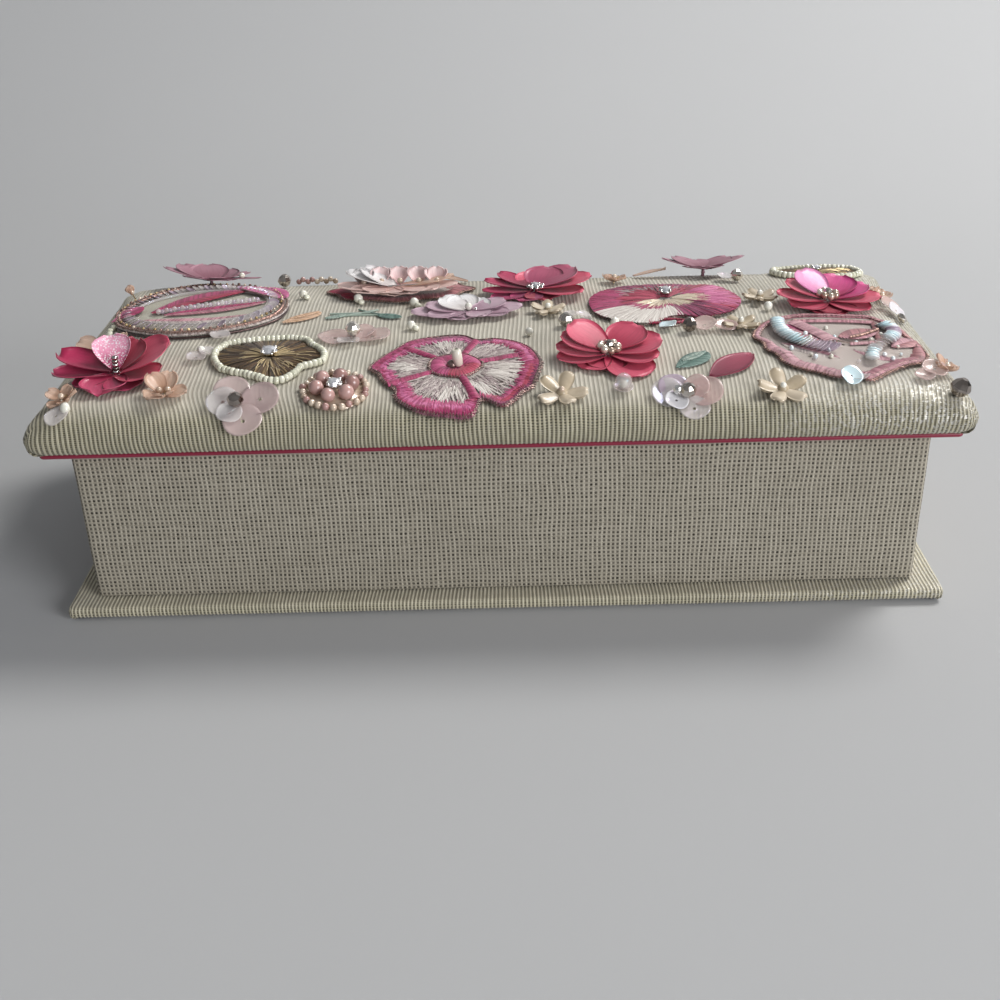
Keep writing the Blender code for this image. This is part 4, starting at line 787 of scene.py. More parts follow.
def make_silk_strip():
    """The silk strip inside the hinge, from the tray's back lining to the lid's underside."""
    low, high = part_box("silk_strip_tray")
    lid_low, lid_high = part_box("silk_strip_lid")
    wall = (low.y + high.y) / 2
    flat = (lid_low.z + lid_high.z) / 2
    bend = 0.9 * MM
    section = [(wall, low.z + (flat - bend - low.z) * share) for share in (0, 0.3, 0.6, 0.9, 1)]
    section += [(wall - b, flat - a) for a, b in arc(bend, range(20, 91, 20))]
    section += [(wall - bend - (wall - bend - lid_low.y) * share, flat)
                for share in (0.15, 0.3, 0.45, 0.6, 0.8, 1)]
    x = np.linspace(low.x, high.x, 61)
    points = np.array([[(over, y, z) for over in x] for y, z in section])
    run = run_along(points[:, 0])
    uv = np.array([[(over, up) for over in x] for up in run])
    piece = grid_mesh("silk_hinge_strip", points, uv)
    shell = piece.modifiers.new("cloth", "SOLIDIFY")
    shell.thickness = SILK_THICKNESS
    shell.offset = 0.0
    dress(piece, "silk", None, ["silk_strip_tray", "silk_strip_lid"])
    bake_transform(piece)


# The padded lid

def lid_section():
    """(inset, level) points of the lid's gauze from its turned-under edge inwards."""
    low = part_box("lid_cover")[0]
    widest = low.z + LID_EDGE_DROP
    points = [(LID_UNDERCUT + LID_HEM, low.z)]
    for step in range(6, 0, -1):
        angle = math.radians(90) * step / 6
        points.append((LID_UNDERCUT * (1 - math.cos(angle)),
                       widest - LID_EDGE_DROP * math.sin(angle)))
    points.append((0.0, widest))
    for step in range(1, 9):
        angle = math.radians(90) * step / 8
        points.append((LID_SHOULDER * (1 - math.cos(angle)),
                       widest + LID_SHOULDER_RISE * math.sin(angle)))
    for step in range(1, 9):
        share = step / 8
        points.append((LID_SHOULDER + share * (LID_CREST_INSET - LID_SHOULDER),
                       widest + LID_SHOULDER_RISE
                       + LID_CROWN * math.sin(math.radians(90) * share)))
    return points


def simulate_padding(wrap, s, t):
    """Let the wadding push the gauze out from its sewn hem, and give each point's shift."""
    grid_s, grid_t = np.meshgrid(s, t)
    rest = wrap.place(grid_s, grid_t)
    piece = grid_mesh("padding", rest, np.stack([grid_s, grid_t], axis=-1))
    sewn = piece.vertex_groups.new(name="sewn")
    edge = wrap.edge_distance(grid_s, grid_t).ravel()
    sewn.add(np.flatnonzero(edge < LID_HEM + 6 * MM).tolist(), 1.0, "REPLACE")
    cloth = piece.modifiers.new("cloth", "CLOTH")
    for key, value in dict(quality=6, mass=0.15, tension_stiffness=12, compression_stiffness=12,
                           shear_stiffness=4, bending_stiffness=0.3, vertex_group_mass="sewn",
                           use_pressure=True, uniform_pressure_force=5.0,
                           shrink_min=-0.012).items():
        setattr(cloth.settings, key, value)
    cloth.settings.effector_weights.gravity = 0.0
    cloth.collision_settings.use_collision = False
    cloth.point_cache.frame_end = 20
    for number in range(1, 21):
        bpy.context.scene.frame_set(number)
    shown = piece.evaluated_get(bpy.context.evaluated_depsgraph_get()).data
    moved = np.zeros(len(shown.vertices) * 3)
    shown.vertices.foreach_get("co", moved)
    shift = moved.reshape(rest.shape) - rest
    bpy.data.objects.remove(piece)
    bpy.context.scene.frame_set(1)
    outward = normals_of(rest)
    rise = (shift * outward).sum(axis=2, keepdims=True)
    shift = shift + outward * (np.clip(rise, -PAD_SINK, PAD_RISE) - rise)
    length = np.linalg.norm(shift, axis=2, keepdims=True)
    return shift * np.minimum(1.0, PAD_RISE / np.maximum(length, 1e-9))


def make_lid_gauze():
    """Ribbed gauze over the lid's wadding, padded by simulation, with its ribs as real relief."""
    low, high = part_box("lid_cover")
    wrap = Wrap(low, high, lid_section(), LID_CORNER, CORNER_GROWTH)
    step = RIB_PITCH / RIB_STEPS
    columns = int(wrap.cloth_x / step)
    s = np.arange(-columns, columns + 1) * step
    t = grid_lines(wrap.cloth_y, 1.0 * MM, 2.6 * MM, 34 * MM)
    coarse_s = np.linspace(-wrap.cloth_x, wrap.cloth_x, 85)
    coarse_t = np.linspace(-wrap.cloth_y, wrap.cloth_y, 43)
    grid_s, grid_t = np.meshgrid(s, t)
    from_left, from_right = wrap.cloth_x + grid_s, wrap.cloth_x - grid_s
    from_front = grid_t + wrap.cloth_y
    lean = (4.2 * MM * smoothstep(from_left, 4 * MM, 34 * MM)
            * (1 - smoothstep(from_left, 60 * MM, 130 * MM))
            - 1.6 * MM * smoothstep(from_right, 4 * MM, 24 * MM)
            * (1 - smoothstep(from_right, 40 * MM, 80 * MM)))
    lean = lean * (1 - smoothstep(from_front, 17 * MM, 36 * MM))
    wander = 0.45 * MM * np.sin(grid_s / (13 * MM) + 2.0 * np.sin(grid_t / (19 * MM)))
    wander = wander * smoothstep(wrap.edge_distance(grid_s, grid_t), 4 * MM, 20 * MM)
    points = wrap.place(grid_s + lean + wander, grid_t)
    shift = simulate_padding(wrap, coarse_s, coarse_t)
    carry_s, carry_t = cubic_rows(coarse_s, s), cubic_rows(coarse_t, t)
    points = points + np.einsum("ij,jkc,lk->ilc", carry_t, shift, carry_s)
    skin = points.copy()
    normal = normals_of(points)
    slub = 0.75 + 0.25 * np.sin(grid_t / (3.1 * MM) + np.round(grid_s / RIB_PITCH) * 2.4)
    edge = wrap.edge_distance(grid_s, grid_t) - LID_HEM
    # roll is painted shade where the gauze turns down over the lid's edge; it also lowers the ribs'
    # relief there
    roll = 1 - smoothstep(edge, 5 * MM, 20 * MM)
    rib = RIB_HEIGHT * slub * (0.5 + 0.5 * np.cos(TURN * grid_s / RIB_PITCH))
    points = points + normal * ((rib - RIB_HEIGHT / 2) * (0.6 + 0.4 * roll))[..., None]
    # The painted shade deepens towards the left end of the lid
    roll = roll * (1.0 + 0.3 * (1 - smoothstep(from_left, 10 * MM, 110 * MM)))
    metal = 0.12 + 0.88 * smoothstep(grid_s, 55 * MM, 112 * MM)
    piece = grid_mesh("lid_gauze", points, np.stack([grid_s, grid_t], axis=-1),
                      roll=roll, metal=metal)
    dress(piece, "gauze", "lid", ["lid_cover"])
    flat = [Vector(point) for point in skin.reshape(-1, 3)]
    return BVHTree.FromPolygons(flat, [list(map(int, face)) for face in grid_faces(len(t), len(s))])


def make_case():
    make_base_gauze()
    make_spine_gauze()
    make_tray_linen()
    for side in ("front", "back", "left", "right", "floor"):
        make_card("lining_" + side, "case")
    make_silk_strip()
    for node in ("base_board", "spine_board", "front_wall", "back_wall", "left_wall",
                 "right_wall", "tray_floor", "lid_board"):
        paint_node(node, "board")
    paint_node("base_lining", "paper")
    paint_node("lid_wadding", "wadding")


def paint_node(node, finish):
    """A frame node that stays gets the scene's finish."""
    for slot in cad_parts[node].material_slots:
        slot.link = "OBJECT"
        slot.material = FINISHES[finish][0]


make_case()
# rim=1.0 paints shade along the liner's edge
make_card("lid_liner", "lid", edge=0.8 * MM, rim=1.0)
lid_skin = make_lid_gauze()


# Small shapes, as (points, faces, uv) around the origin. Trimmings are in millimetres and
# degrees, and Trim brings them to the lid

def grid_shape(points, around=False):
    """A grid of points, rows by columns by three, as a shape; uv runs across and along."""
    rows, columns = points.shape[:2]
    along, across = np.meshgrid(np.linspace(0, 1, rows), np.linspace(0, 1, columns),
                                indexing="ij")
    uv = np.stack([across, along], axis=-1).reshape(-1, 2)
    return points.reshape(-1, 3), grid_faces(rows, columns, around=around), uv


def shell_shape(points, thickness):
    """A grid of points given thickness: one closed sheet."""
    rows, columns = points.shape[:2]
    normal = normals_of(points) * thickness / 2
    loop = np.concatenate([points + normal, (points - normal)[::-1]])
    shape, faces, uv = grid_shape(loop)
    uv[:, 1] = 1 - np.abs(uv[:, 1] * 2 - 1)
    count = len(loop)
    ends = [(row * columns, (count - 1 - row) * columns,
             (count - 2 - row) * columns, (row + 1) * columns) for row in range(rows - 1)]
    ends += [(row * columns + columns - 1, (row + 1) * columns + columns - 1,
              (count - 2 - row) * columns + columns - 1,
              (count - 1 - row) * columns + columns - 1) for row in range(rows - 1)]
    first = [(column + 1, column, (count - 1) * columns + column,
              (count - 1) * columns + column + 1) for column in range(columns - 1)]
    return shape, np.concatenate([faces, ends, first]), uv


def lathe_shape(profile, sides):
    """A turned shape; a profile point on the axis closes it."""
    angles = np.arange(sides) * TURN / sides
    points = np.array([[(radius * math.cos(a), radius * math.sin(a), z) for a in angles]
                       for radius, z in profile])
    return grid_shape(points, around=True)


def ball_shape(sides=12, rings=7):
    """A ball of radius one."""
    angles = np.linspace(-math.pi / 2 + 0.02, math.pi / 2 - 0.02, rings + 1)
    return lathe_shape([(math.cos(a), math.sin(a)) for a in angles], sides)


def cup_shape(width, cup, sides=18, waves=0.0):
    """A cupped sequin, hollow side up, with a hole at its middle."""
    angle = np.arange(sides) * TURN / sides
    share = np.array([0.11, 0.3, 0.5, 0.7, 0.86, 1.0])[:, None]
    top = np.stack([width / 2 * share * np.cos(angle), width / 2 * share * np.sin(angle),
                    share ** 2 * (cup + waves * np.sin(3 * angle))], axis=-1)
    under = top[::-1] - (0, 0, 0.12)
    return grid_shape(np.concatenate([top, under, top[:1]]), around=True)


def petal_shape(length, width, root=0.25, peak=0.62, cup=0.10, rise=0.0, curl=0.0,
                ruffle=0.0, phase=0.0, point=0.5, notch=0.0, thick=0.22):
    """A petal from the origin along +Y, across X, with its face up."""
    v = np.linspace(0.0, 0.985, 11)[:, None]
    u = np.linspace(-1.0, 1.0, 9)[None, :]
    swell = root + (1 - root) * np.sin(math.pi / 2 * np.minimum(v / peak, 1.0))
    close = (1 - (np.clip((v - peak) / (1 - peak), 0.0, 1.0)) ** 2) ** point
    x = u * (width / 2 * swell * close)
    y = length * (v - notch * v ** 3 * (1 - u ** 2))
    z = (length * rise * v ** 2 - length * curl * np.clip(v - 0.6, 0, 1) ** 2 * 4
         + cup * width * u ** 2 * swell
         + ruffle * np.sin(2.5 * math.pi * u + phase) * v ** 2)
    return shell_shape(np.stack(np.broadcast_arrays(x, y, z), axis=-1), thick)


def tube_shape(path, radius, sides=5, closed=False):
    """A round thread along a path of points."""
    path = np.asarray(path, float)
    ahead = np.roll(path, -1, axis=0) - np.roll(path, 1, axis=0)
    if not closed:
        ahead[0], ahead[-1] = path[1] - path[0], path[-1] - path[-2]
    ahead /= np.maximum(np.linalg.norm(ahead, axis=1, keepdims=True), 1e-12)
    side = np.cross(ahead, (0, 0, 1.0))
    side[np.linalg.norm(side, axis=1) < 1e-3] = (1.0, 0, 0)
    side /= np.linalg.norm(side, axis=1, keepdims=True)
    up = np.cross(side, ahead)
    angles = np.arange(sides)[None, :, None] * TURN / sides
    points = path[:, None] + radius * (np.cos(angles) * side[:, None]
                                       + np.sin(angles) * up[:, None])
    if closed:
        points = np.concatenate([points, points[:1]])
    return grid_shape(points, around=True)


STITCH_POINTS = 15


def stitches_shape(starts, ends, width, hump, lift=0.0):
    """Many straight stitches, each a rounded thread that rises over what it crosses."""
    starts, ends = np.asarray(starts, float), np.asarray(ends, float)
    if starts.shape[1] == 2:
        starts = np.column_stack([starts, np.full(len(starts), lift)])
        ends = np.column_stack([ends, np.full(len(ends), lift)])
    ahead = ends - starts
    side = np.cross(ahead, (0, 0, 1.0))
    side /= np.maximum(np.linalg.norm(side, axis=1, keepdims=True), 1e-12)
    points, uv = [], []
    for share, height in ((0.0, 0.0), (0.2, 0.75), (0.5, 1.0), (0.8, 0.75), (1.0, 0.0)):
        middle = starts + ahead * share
        for over, top in ((-0.5, 0.0), (0.0, 1.0), (0.5, 0.0)):
            spot = middle + side * over * width
            spot[:, 2] += hump * height + top * width * 0.32
            points.append(spot)
            uv.append(np.column_stack([np.full(len(spot), over + 0.5),
                                       np.full(len(spot), share)]))
    points = np.stack(points, axis=1).reshape(-1, 3)
    uv = np.stack(uv, axis=1).reshape(-1, 2)
    each = STITCH_POINTS * np.arange(len(starts))[:, None, None]
    return points, (grid_faces(5, 3)[None] + each).reshape(-1, 4), uv


def turned(azimuth, tilt, out=0.0, up=0.0):
    """Tilt a shape that points along +Y, move it out and turn it round the middle."""
    return (Matrix.Translation((0, 0, up)) @ Matrix.Rotation(math.radians(azimuth - 90), 4, "Z")
            @ Matrix.Translation((0, out, 0)) @ Matrix.Rotation(math.radians(tilt), 4, "X"))


def at(x, y, z=0.0, size=1.0, tilt=0.0, azimuth=0.0):
    """Scale a shape, tilt it towards an azimuth and move it."""
    return (Matrix.Translation((x, y, z)) @ Matrix.Rotation(math.radians(azimuth), 4, "Z")
            @ Matrix.Rotation(math.radians(tilt), 4, "Y") @ Matrix.Scale(size, 4))


class Ground:
    """Heights of the lid's gauze on a fine grid of places."""

    def __init__(self, skin):
        low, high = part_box("lid_cover")
        self.x = np.arange(low.x, high.x, 1.0 * MM)
        self.y = np.arange(low.y, high.y, 1.0 * MM)
        self.z = np.zeros((len(self.y), len(self.x)))
        for row, y in enumerate(self.y):
            for column, x in enumerate(self.x):
                hit = skin.ray_cast(Vector((x, y, high.z + 0.05)), Vector((0, 0, -1)))[0]
                self.z[row, column] = hit.z if hit else low.z
        self.z += RIB_HEIGHT / 2

    def height(self, x, y):
        """Level of the gauze at places, between the grid's own."""
        column = np.clip((np.asarray(x) - self.x[0]) / MM, 0, len(self.x) - 1.001)
        row = np.clip((np.asarray(y) - self.y[0]) / MM, 0, len(self.y) - 1.001)
        i, j = column.astype(int), row.astype(int)
        f, g = column - i, row - j
        z = self.z
        return ((1 - g) * ((1 - f) * z[j, i] + f * z[j, i + 1])
                + g * ((1 - f) * z[j + 1, i] + f * z[j + 1, i + 1]))


SPAN = 7 * MM                    # how far round a trimming the lid's slope is felt


class Trim:
    """One trimming on the lid: shapes sorted by finish, then made into pieces."""

    def __init__(self, name, place=None, stand=0.0):
        """Stands at a place, or else for the frame node of its name."""
        self.name, self.nodes = name, [] if place else [name]
        self.x, self.y = place or spot(name)
        self.z = float(ground.height(self.x, self.y)) + stand * MM
        left, right, front, back = ground.height(
            self.x + SPAN * np.array((-1, 1, 0, 0)), self.y + SPAN * np.array((0, 0, -1, 1)))
        normal = Vector((left - right, front - back, 2 * SPAN))
        self.lean = np.array(Vector((0, 0, 1)).rotation_difference(normal).to_matrix())
        self.parts = {}

    def add(self, finish, shape, place=None, lay=False, smooth=True, shade=None):
        """Add a shape; lay sets its heights above the gauze under each of its points."""
        points, faces, uv = shape
        points = np.array(points, float)
        if place is not None:
            matrix = np.array(place)
            points = points @ matrix[:3, :3].T + matrix[:3, 3]
        points = points * MM
        if not lay:
            points = points @ self.lean.T
        points = points + (self.x, self.y, 0.0 if lay else self.z)
        if lay:
            points[:, 2] += ground.height(points[:, 0], points[:, 1])
        if shade is None:
            shade = DICE.random()
        self.parts.setdefault(finish, []).append((
            points, faces, uv, np.full(len(faces), smooth),
            np.broadcast_to(shade, (len(points),))))

    def make(self):
        """One piece for each finish; the first also stands for the trimming's node."""
        for finish, shapes in self.parts.items():
            points, faces, uv, smooth, shade = zip(*shapes)
            first = np.cumsum([0] + [len(group) for group in points[:-1]])
            faces = [group + start for group, start in zip(faces, first)]
            points, faces, uv, smooth, shade = (
                np.concatenate(groups) for groups in (points, faces, uv, smooth, shade))
            piece = new_mesh(f"{self.name}_{finish}", points, faces, uv, smooth,
                             {"shade": shade})
            dress(piece, finish, "lid", self.nodes)
            self.nodes = []


def polar(azimuth, reach):
    """The place at an azimuth in degrees and a reach."""
    angle = math.radians(azimuth)
    return reach * math.cos(angle), reach * math.sin(angle)


def bent(points, share):
    """A place on the bend from the first point to the third, which the second pulls out."""
    first, pull, last = points
    return (1 - share) ** 2 * first + 2 * share * (1 - share) * pull + share ** 2 * last


def spot(node):
    """Middle of a frame node, seen from above."""
    low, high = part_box(node)
    return (low.x + high.x) / 2, (low.y + high.y) / 2


def shades(count, points_each=STITCH_POINTS):
    """A shade for each stitch, repeated over its points."""
    return np.repeat([DICE.random() for _ in range(count)], points_each)


# Beads and stones, of radius one

BALL = ball_shape()
SMALL_BALL = ball_shape(8, 5)
RING_BEAD = lathe_shape([(0.66 + 0.34 * math.cos(a), 0.72 * math.sin(a))
                         for a in np.linspace(0, TURN, 9)], 10)
STONE = lathe_shape([(1.0, -0.05), (1.0, 0.12), (0.80, 0.48), (0.46, 0.62), (0.001, 0.62)], 8)
FACETED = lathe_shape([(0.30, -0.95), (0.76, -0.62), (1.0, -0.12), (1.0, 0.12), (0.76, 0.62),
                       (0.34, 0.94), (0.001, 0.94)], 8)


def add_pearl(trim, finish, x, y, width, z=0.0, lay=False):
    trim.add(finish, BALL if width > 3.2 else SMALL_BALL, at(x, y, z + width / 2, width / 2),
             lay=lay)


def add_stone(trim, x, y, z, width):
    """A cut stone in a silver cup with four claws."""
    trim.add("silver", lathe_shape([(0.62, 0.0), (1.08, 0.42), (1.12, 0.62), (0.9, 0.6)], 12),
             at(x, y, z, width / 2))
    for claw in range(4):
        over, along = polar(90 * claw + 45, width / 2)
        trim.add("silver", SMALL_BALL, at(x + over, y + along, z + 0.36 * width, 0.15 * width))
    trim.add("crystal", STONE, at(x, y, z + 0.26 * width, width / 2), smooth=False)


def add_cluster(trim, z):
    """A stone in a ring of small metal-bright pearls."""
    trim.add("gunmetal", FACETED, at(0, 0, z + 1.7, 1.4), smooth=False)
    for step in range(8):
        add_pearl(trim, "silver_pearl", *polar(45 * step + 11.46, 2.5),
                  2.4 * DICE.uniform(0.85, 1.08), z + DICE.uniform(-0.2, 0.2))


# Flowers of cut petals: rows of azimuth, length, width, tilt, finish, and height where it isn't
# the usual one, with anything special

PETALS = {
    "mauve_flower_back_left": (
        (174, 16.5, 10, 11), (146, 14.5, 12, 16), (108, 11.5, 13, 21), (70, 11.5, 13, 18),
        (32, 13.5, 12, 11), (2, 16.5, 10, 3), (212, 9.5, 11.5, 6), (326, 9.5, 11, 2),
        (270, 7, 11, 3)),
    "mauve_flower_back_right": (
        (173, 14, 9, 13), (146, 11.5, 10, 16), (104, 7.5, 11, 14), (66, 7.5, 11, 14),
        (34, 11.5, 10, 16), (5, 14, 9, 14), (222, 7, 9.5, 7), (318, 7, 9.5, 7), (270, 6, 9, 5)),
    "coral_flower_left": (
        (164, 17.5, 10.5, 10, "dark_petal", 1, dict(cup=0.16, rise=0.05)),
        (186, 17, 10, 3, "cerise", 0.3, dict(cup=0.16)), (208, 12, 9, -2, "cerise", 0),
        (262, 13, 13.5, -5, "cerise", 0.3, dict(cup=0.14)), (300, 11.5, 11, -4, "cerise", 0),
        (338, 14, 13, 4, "coral", 0.3, dict(cup=0.06)),
        (20, 17, 17.5, 17, "coral", 0.8, dict(cup=0.08, rise=0.04)),
        (62, 12, 12, 26, "dark_coral", 1, dict(cup=0.1)),
        # The upright petal at the back takes the painted satin highlight
        (104, 11, 10.5, 46, "pale_petal", 1.2, dict(cup=0.1, peak=0.72, root=0.2))),
    "coral_flower_middle": (
        (146, 13.5, 12.5, 20, "coral", 1.6), (166, 14, 11.5, 13, "coral", 1.1),
        (182, 14.8, 10.5, 6, "coral", 0.6), (196, 15, 9.5, 1, "coral", 0.1),
        (44, 12.5, 13, 15, "coral", 1.3), (8, 15, 13.5, 8, "coral", 0.8),
        (340, 14, 12, 1, "coral", 0.4), (306, 15.5, 14, -5, "coral", 0.1, dict(cup=0.02)),
        (262, 9, 11, -5, "dark_coral", -0.3), (224, 11, 11, -4, "coral", -0.2)),
    "coral_flower_right": (
        (128, 12.5, 12, 25, "pale_hot", 1.6), (62, 12.5, 13.5, 16, "hot_petal", 1.2),
        (158, 13.5, 11, 14, "coral", 1), (184, 15.5, 11.5, 5, "coral", 0.5),
        (22, 14, 11, 12, "hot_petal", 0.7), (356, 16, 12.5, 5, "coral", 0.4),
        (326, 13.5, 12.5, -2, "coral", 0.1), (284, 10.5, 13, -5, "dark_coral", -0.2),
        (246, 11, 12, -5, "dark_coral", -0.1), (212, 13.5, 12, -1, "coral", 0.1)),
    "crimson_flower": (
        (6, 18, 14, 8, "coral", 1), (334, 16, 12.5, 2, "coral", 0.3), (34, 15, 14, 14, "rosy", 1.3),
        (66, 12, 13, 17, "rosy", 1), (104, 10, 10, 16, "coral", 0.7),
        (148, 14, 7.5, 12, "dark_petal", 1), (170, 16.5, 7.5, 7, "dark_petal", 0.7),
        (191, 17, 7.5, 2, "dark_petal", 0.3), (212, 16, 8.5, -1, "plum", 0),
        (246, 11.5, 10.5, -3, "plum", 0), (290, 10.5, 12, -3, "dark_coral", 0)),
    "lilac_flower": (
        (183, 17.5, 9, 1, "lilac"), (168, 13.5, 8.5, 5, "lilac"), (202, 13, 8, -1, "lilac"),
        (3, 16.5, 9, 3, "lilac"), (345, 12.5, 8.5, 0, "lilac"), (21, 12, 8, 6, "lilac"),
        (66, 8.5, 10, 12, "white_petal"), (110, 9, 10, 14, "white_petal"),
        (143, 10.5, 9.5, 11, "white_petal"), (228, 8.5, 9, -1, "lilac"), (270, 6, 11, -2, "lilac"),
        (312, 8, 9, 0, "lilac")),
    "blush_flower": (
        (188, 18.5, 11, 4, "blush"), (212, 15, 13, 1, "blush"), (241, 12, 14, 0, "blush"),
        (272, 10.5, 15, -1, "blush"), (302, 12, 14, 0, "blush"), (329, 15.5, 13, 1, "blush"),
        (352, 20, 10, 3, "blush"), (9, 19, 9, 7, "peach_film"),
        (168, 16.5, 11, 13, "white_petal", 0.6, dict(cup=0.1)),
        (151, 13.5, 10, 22, "white_petal", 0, dict(cup=0.14))),
}


def add_petals(trim, petals, out=0.8, base=1.2, roll=0.0, **common):
    for index, (azimuth, length, width, tilt, finish, *extra) in enumerate(petals):
        lift = extra[0] if extra else 0.30 * (index % 3)
        options = dict(root=0.34, peak=0.60, cup=0.045, ruffle=0.10, rise=0.02,
                       phase=DICE.uniform(0, TURN)) | common
        if len(extra) > 1:
            options.update(extra[1])
        lean = tilt + roll * math.sin(math.radians(azimuth - 90))
        shape = petal_shape(length - out, width, **options)
        trim.add(finish, shape, turned(azimuth, lean, out, base + lift))


def make_mauve_flowers():
    """Fans of mauve petals on short stems, seen nearly edge-on."""
    for side, roll in (("left", 4.0), ("right", 0.0)):
        node = "mauve_flower_back_" + side
        trim = Trim(node)
        base = max(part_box(node)[0].z - trim.z, 0.0) / MM + 2.2
        add_petals(trim, [(*row, "mauve") for row in PETALS[node]], 0.4, base, roll,
                   root=0.5, peak=0.55, notch=0.05, cup=0.02)
        stem = [(0, 0, 0), (0.1, 0, base * 0.5), (0, 0, base + 0.6)]
        trim.add("mauve", tube_shape(stem, 0.7, 7))
        if side == "left":
            add_pearl(trim, "white_pearl", 10.5, -1.5, 2.0, base + 0.6)
        trim.make()


def make_coral_flowers():
    """The three large satin flowers."""
    left = Trim("coral_flower_left")
    add_petals(left, PETALS[left.name])
    for level in range(5):
        left.add("gunmetal" if level % 2 else "silver",
                 lathe_shape([(0.7, 0), (0.95, 0.4), (0.95, 0.8), (0.6, 1.15), (0.01, 1.2)], 8),
                 at(0.12 * level, 0, 1.4 + 1.05 * level, 1.0, 10, 40))
    left.make()
    for node in ("coral_flower_middle", "coral_flower_right"):
        trim = Trim(node)
        add_petals(trim, PETALS[node])
        add_cluster(trim, 2.2)
        trim.make()


def make_crimson_flower():
    trim = Trim("crimson_flower")
    add_petals(trim, PETALS[trim.name])
    add_stone(trim, 0, 0, 1.9, 3.2)
    for x, y in ((-2.2, -0.6), (-1.2, -1.8), (0.4, -2.1), (1.9, -1.2), (2.3, 0.6)):
        trim.add("silver", SMALL_BALL, at(x, y, 2.5, 0.8))
    trim.make()


def make_lilac_flower():
    trim = Trim("lilac_flower")
    add_petals(trim, PETALS[trim.name], base=0.9)
    add_pearl(trim, "white_pearl", 0, 0, 2.4, 1.4)
    trim.add("silver", SMALL_BALL, at(2.2, -0.8, 2.0, 0.6))
    trim.make()


def make_blush_flower():
    """A broad low band of film with a row of small scalloped petals standing on it."""
    trim = Trim("blush_flower", stand=1.4)
    add_petals(trim, PETALS[trim.name], base=0.6)
    for index, (x, y) in enumerate(((-10.5, 3.6), (-5.0, 4.4), (0.8, 4.8), (6.8, 4.4), (12.6, 3.4))):
        finish = "white_petal" if index == 0 else "blush_stand"
        for azimuth, tilt in ((52, 50), (90, 62), (128, 52)):
            shape = petal_shape(5.6, 5.4, root=0.4, cup=0.16, ruffle=0.15, phase=index)
            trim.add(finish, shape, Matrix.Translation((x, y, 0.9))
                     @ turned(azimuth + DICE.uniform(-8, 8), tilt + DICE.uniform(-6, 6), 0.3))
        add_pearl(trim, "cream_pearl", x + 0.3, y - 1.5, 1.9, 1.3)
    trim.add("silver", tube_shape([(-5, -1, 1.6), (2, -1.6, 1.8), (8, -0.2, 1.7)], 0.22, 5))
    trim.make()


# Embroidery: outlines as rows of azimuth and reach

RIMS = {
    "embroidery_flower_front": (
        (178, 23.3), (158, 21.1), (141, 20.9), (129, 22.2), (117, 22), (98, 21.7), (85, 21.2),
        (72, 18.4), (60, 20.9), (45, 22.5), (30, 23.1), (14, 23.1), (0, 23.4), (-16, 23), (-30, 24),
        (-38, 23.1), (-49, 24), (-58, 23.6), (-66, 18.8), (-76, 22.4), (-83, 22.6), (-91, 22.2),
        (-104, 22.4), (-113, 22.9), (-122, 22.8), (-134, 21.9), (-144, 19.4), (-158, 20.4),
        (-173, 21)),
    "embroidery_flower_right": (
        (177, 22.4), (153, 20.2), (129, 17.6), (99, 15.3), (77, 15.4), (62, 15.8), (35, 19.4),
        (15, 20.9), (-6, 22.5), (-26, 21.9), (-43, 20.1), (-61, 17.8), (-74, 14.8), (-90, 15),
        (-101, 18.8), (-112, 21.6), (-124, 22.4), (-135, 23.2), (-155, 23.6)),
    "embroidery_oval": (
        (-168, 25.8), (179, 26.4), (160, 24.6), (136, 24.2), (119, 24.2), (97, 23.8), (72, 22),
        (46, 22.8), (16, 25.5), (-3, 27.3), (-22, 28), (-39, 26.8), (-55, 25.4), (-73, 24.8),
        (-93, 25), (-108, 25), (-127, 24.8), (-143, 25.6), (-157, 26)),
    "embroidery_shell": (
        (164, 24.4), (144, 25.2), (130, 25.4), (118, 25.2), (108, 24.6), (99, 23.6), (79, 23.2),
        (62, 25.8), (53, 25.4), (42, 24.7), (23, 23), (-2, 22), (-19, 22.3), (-30, 22), (-41, 19.6),
        (-65, 19.5), (-84, 22.6), (-92, 20.4), (-107, 21.2), (-120, 20.2), (-134, 20.7),
        (-148, 21.3), (-162, 20.3), (-173, 21.7), (175, 21.6)),
    "bead_clover_left": (
        (164, 16.6), (146, 17.2), (135, 16.4), (120, 14.6), (96, 13.7), (72, 14.4), (53, 14.8),
        (37, 13.4), (20, 14.2), (1, 15.4), (-14, 15.8), (-25, 14.2), (-38, 12.6), (-53, 14.2),
        (-70, 16), (-83, 15), (-97, 12.9), (-112, 12.1), (-133, 12.9), (-151, 14.2), (-172, 15)),
    "bead_clover_right": (
        (0, 14.2), (20, 12.2), (42, 8.6), (65, 7.4), (90, 6.4), (115, 7.4), (138, 8.6), (160, 12.2),
        (180, 14.2), (200, 12.2), (222, 8.8), (245, 7.6), (270, 6.8), (295, 7.6), (318, 8.8),
        (340, 12.2)),
}


def outline(node, pitch=0.42):
    """A closed curve through a patch's rows of azimuth and reach, in even steps."""
    knots = np.array([polar(*row) for row in sorted((a % 360, r) for a, r in RIMS[node])])
    share = np.linspace(0, 1, 24, endpoint=False)[:, None]
    dense = []
    for index in range(len(knots)):
        a, b, c, d = (knots[(index + step) % len(knots)] for step in (-1, 0, 1, 2))
        dense.append(0.5 * (2 * b + (c - a) * share + (2 * a - 5 * b + 4 * c - d) * share ** 2
                            + (3 * b - a - 3 * c + d) * share ** 3))
    dense = np.concatenate(dense + [dense[0][:1]])
    run = run_along(dense)
    count = int(run[-1] / pitch)
    want = np.arange(count) / count * run[-1]
    return np.column_stack([np.interp(want, run, dense[:, 0]), np.interp(want, run, dense[:, 1])])


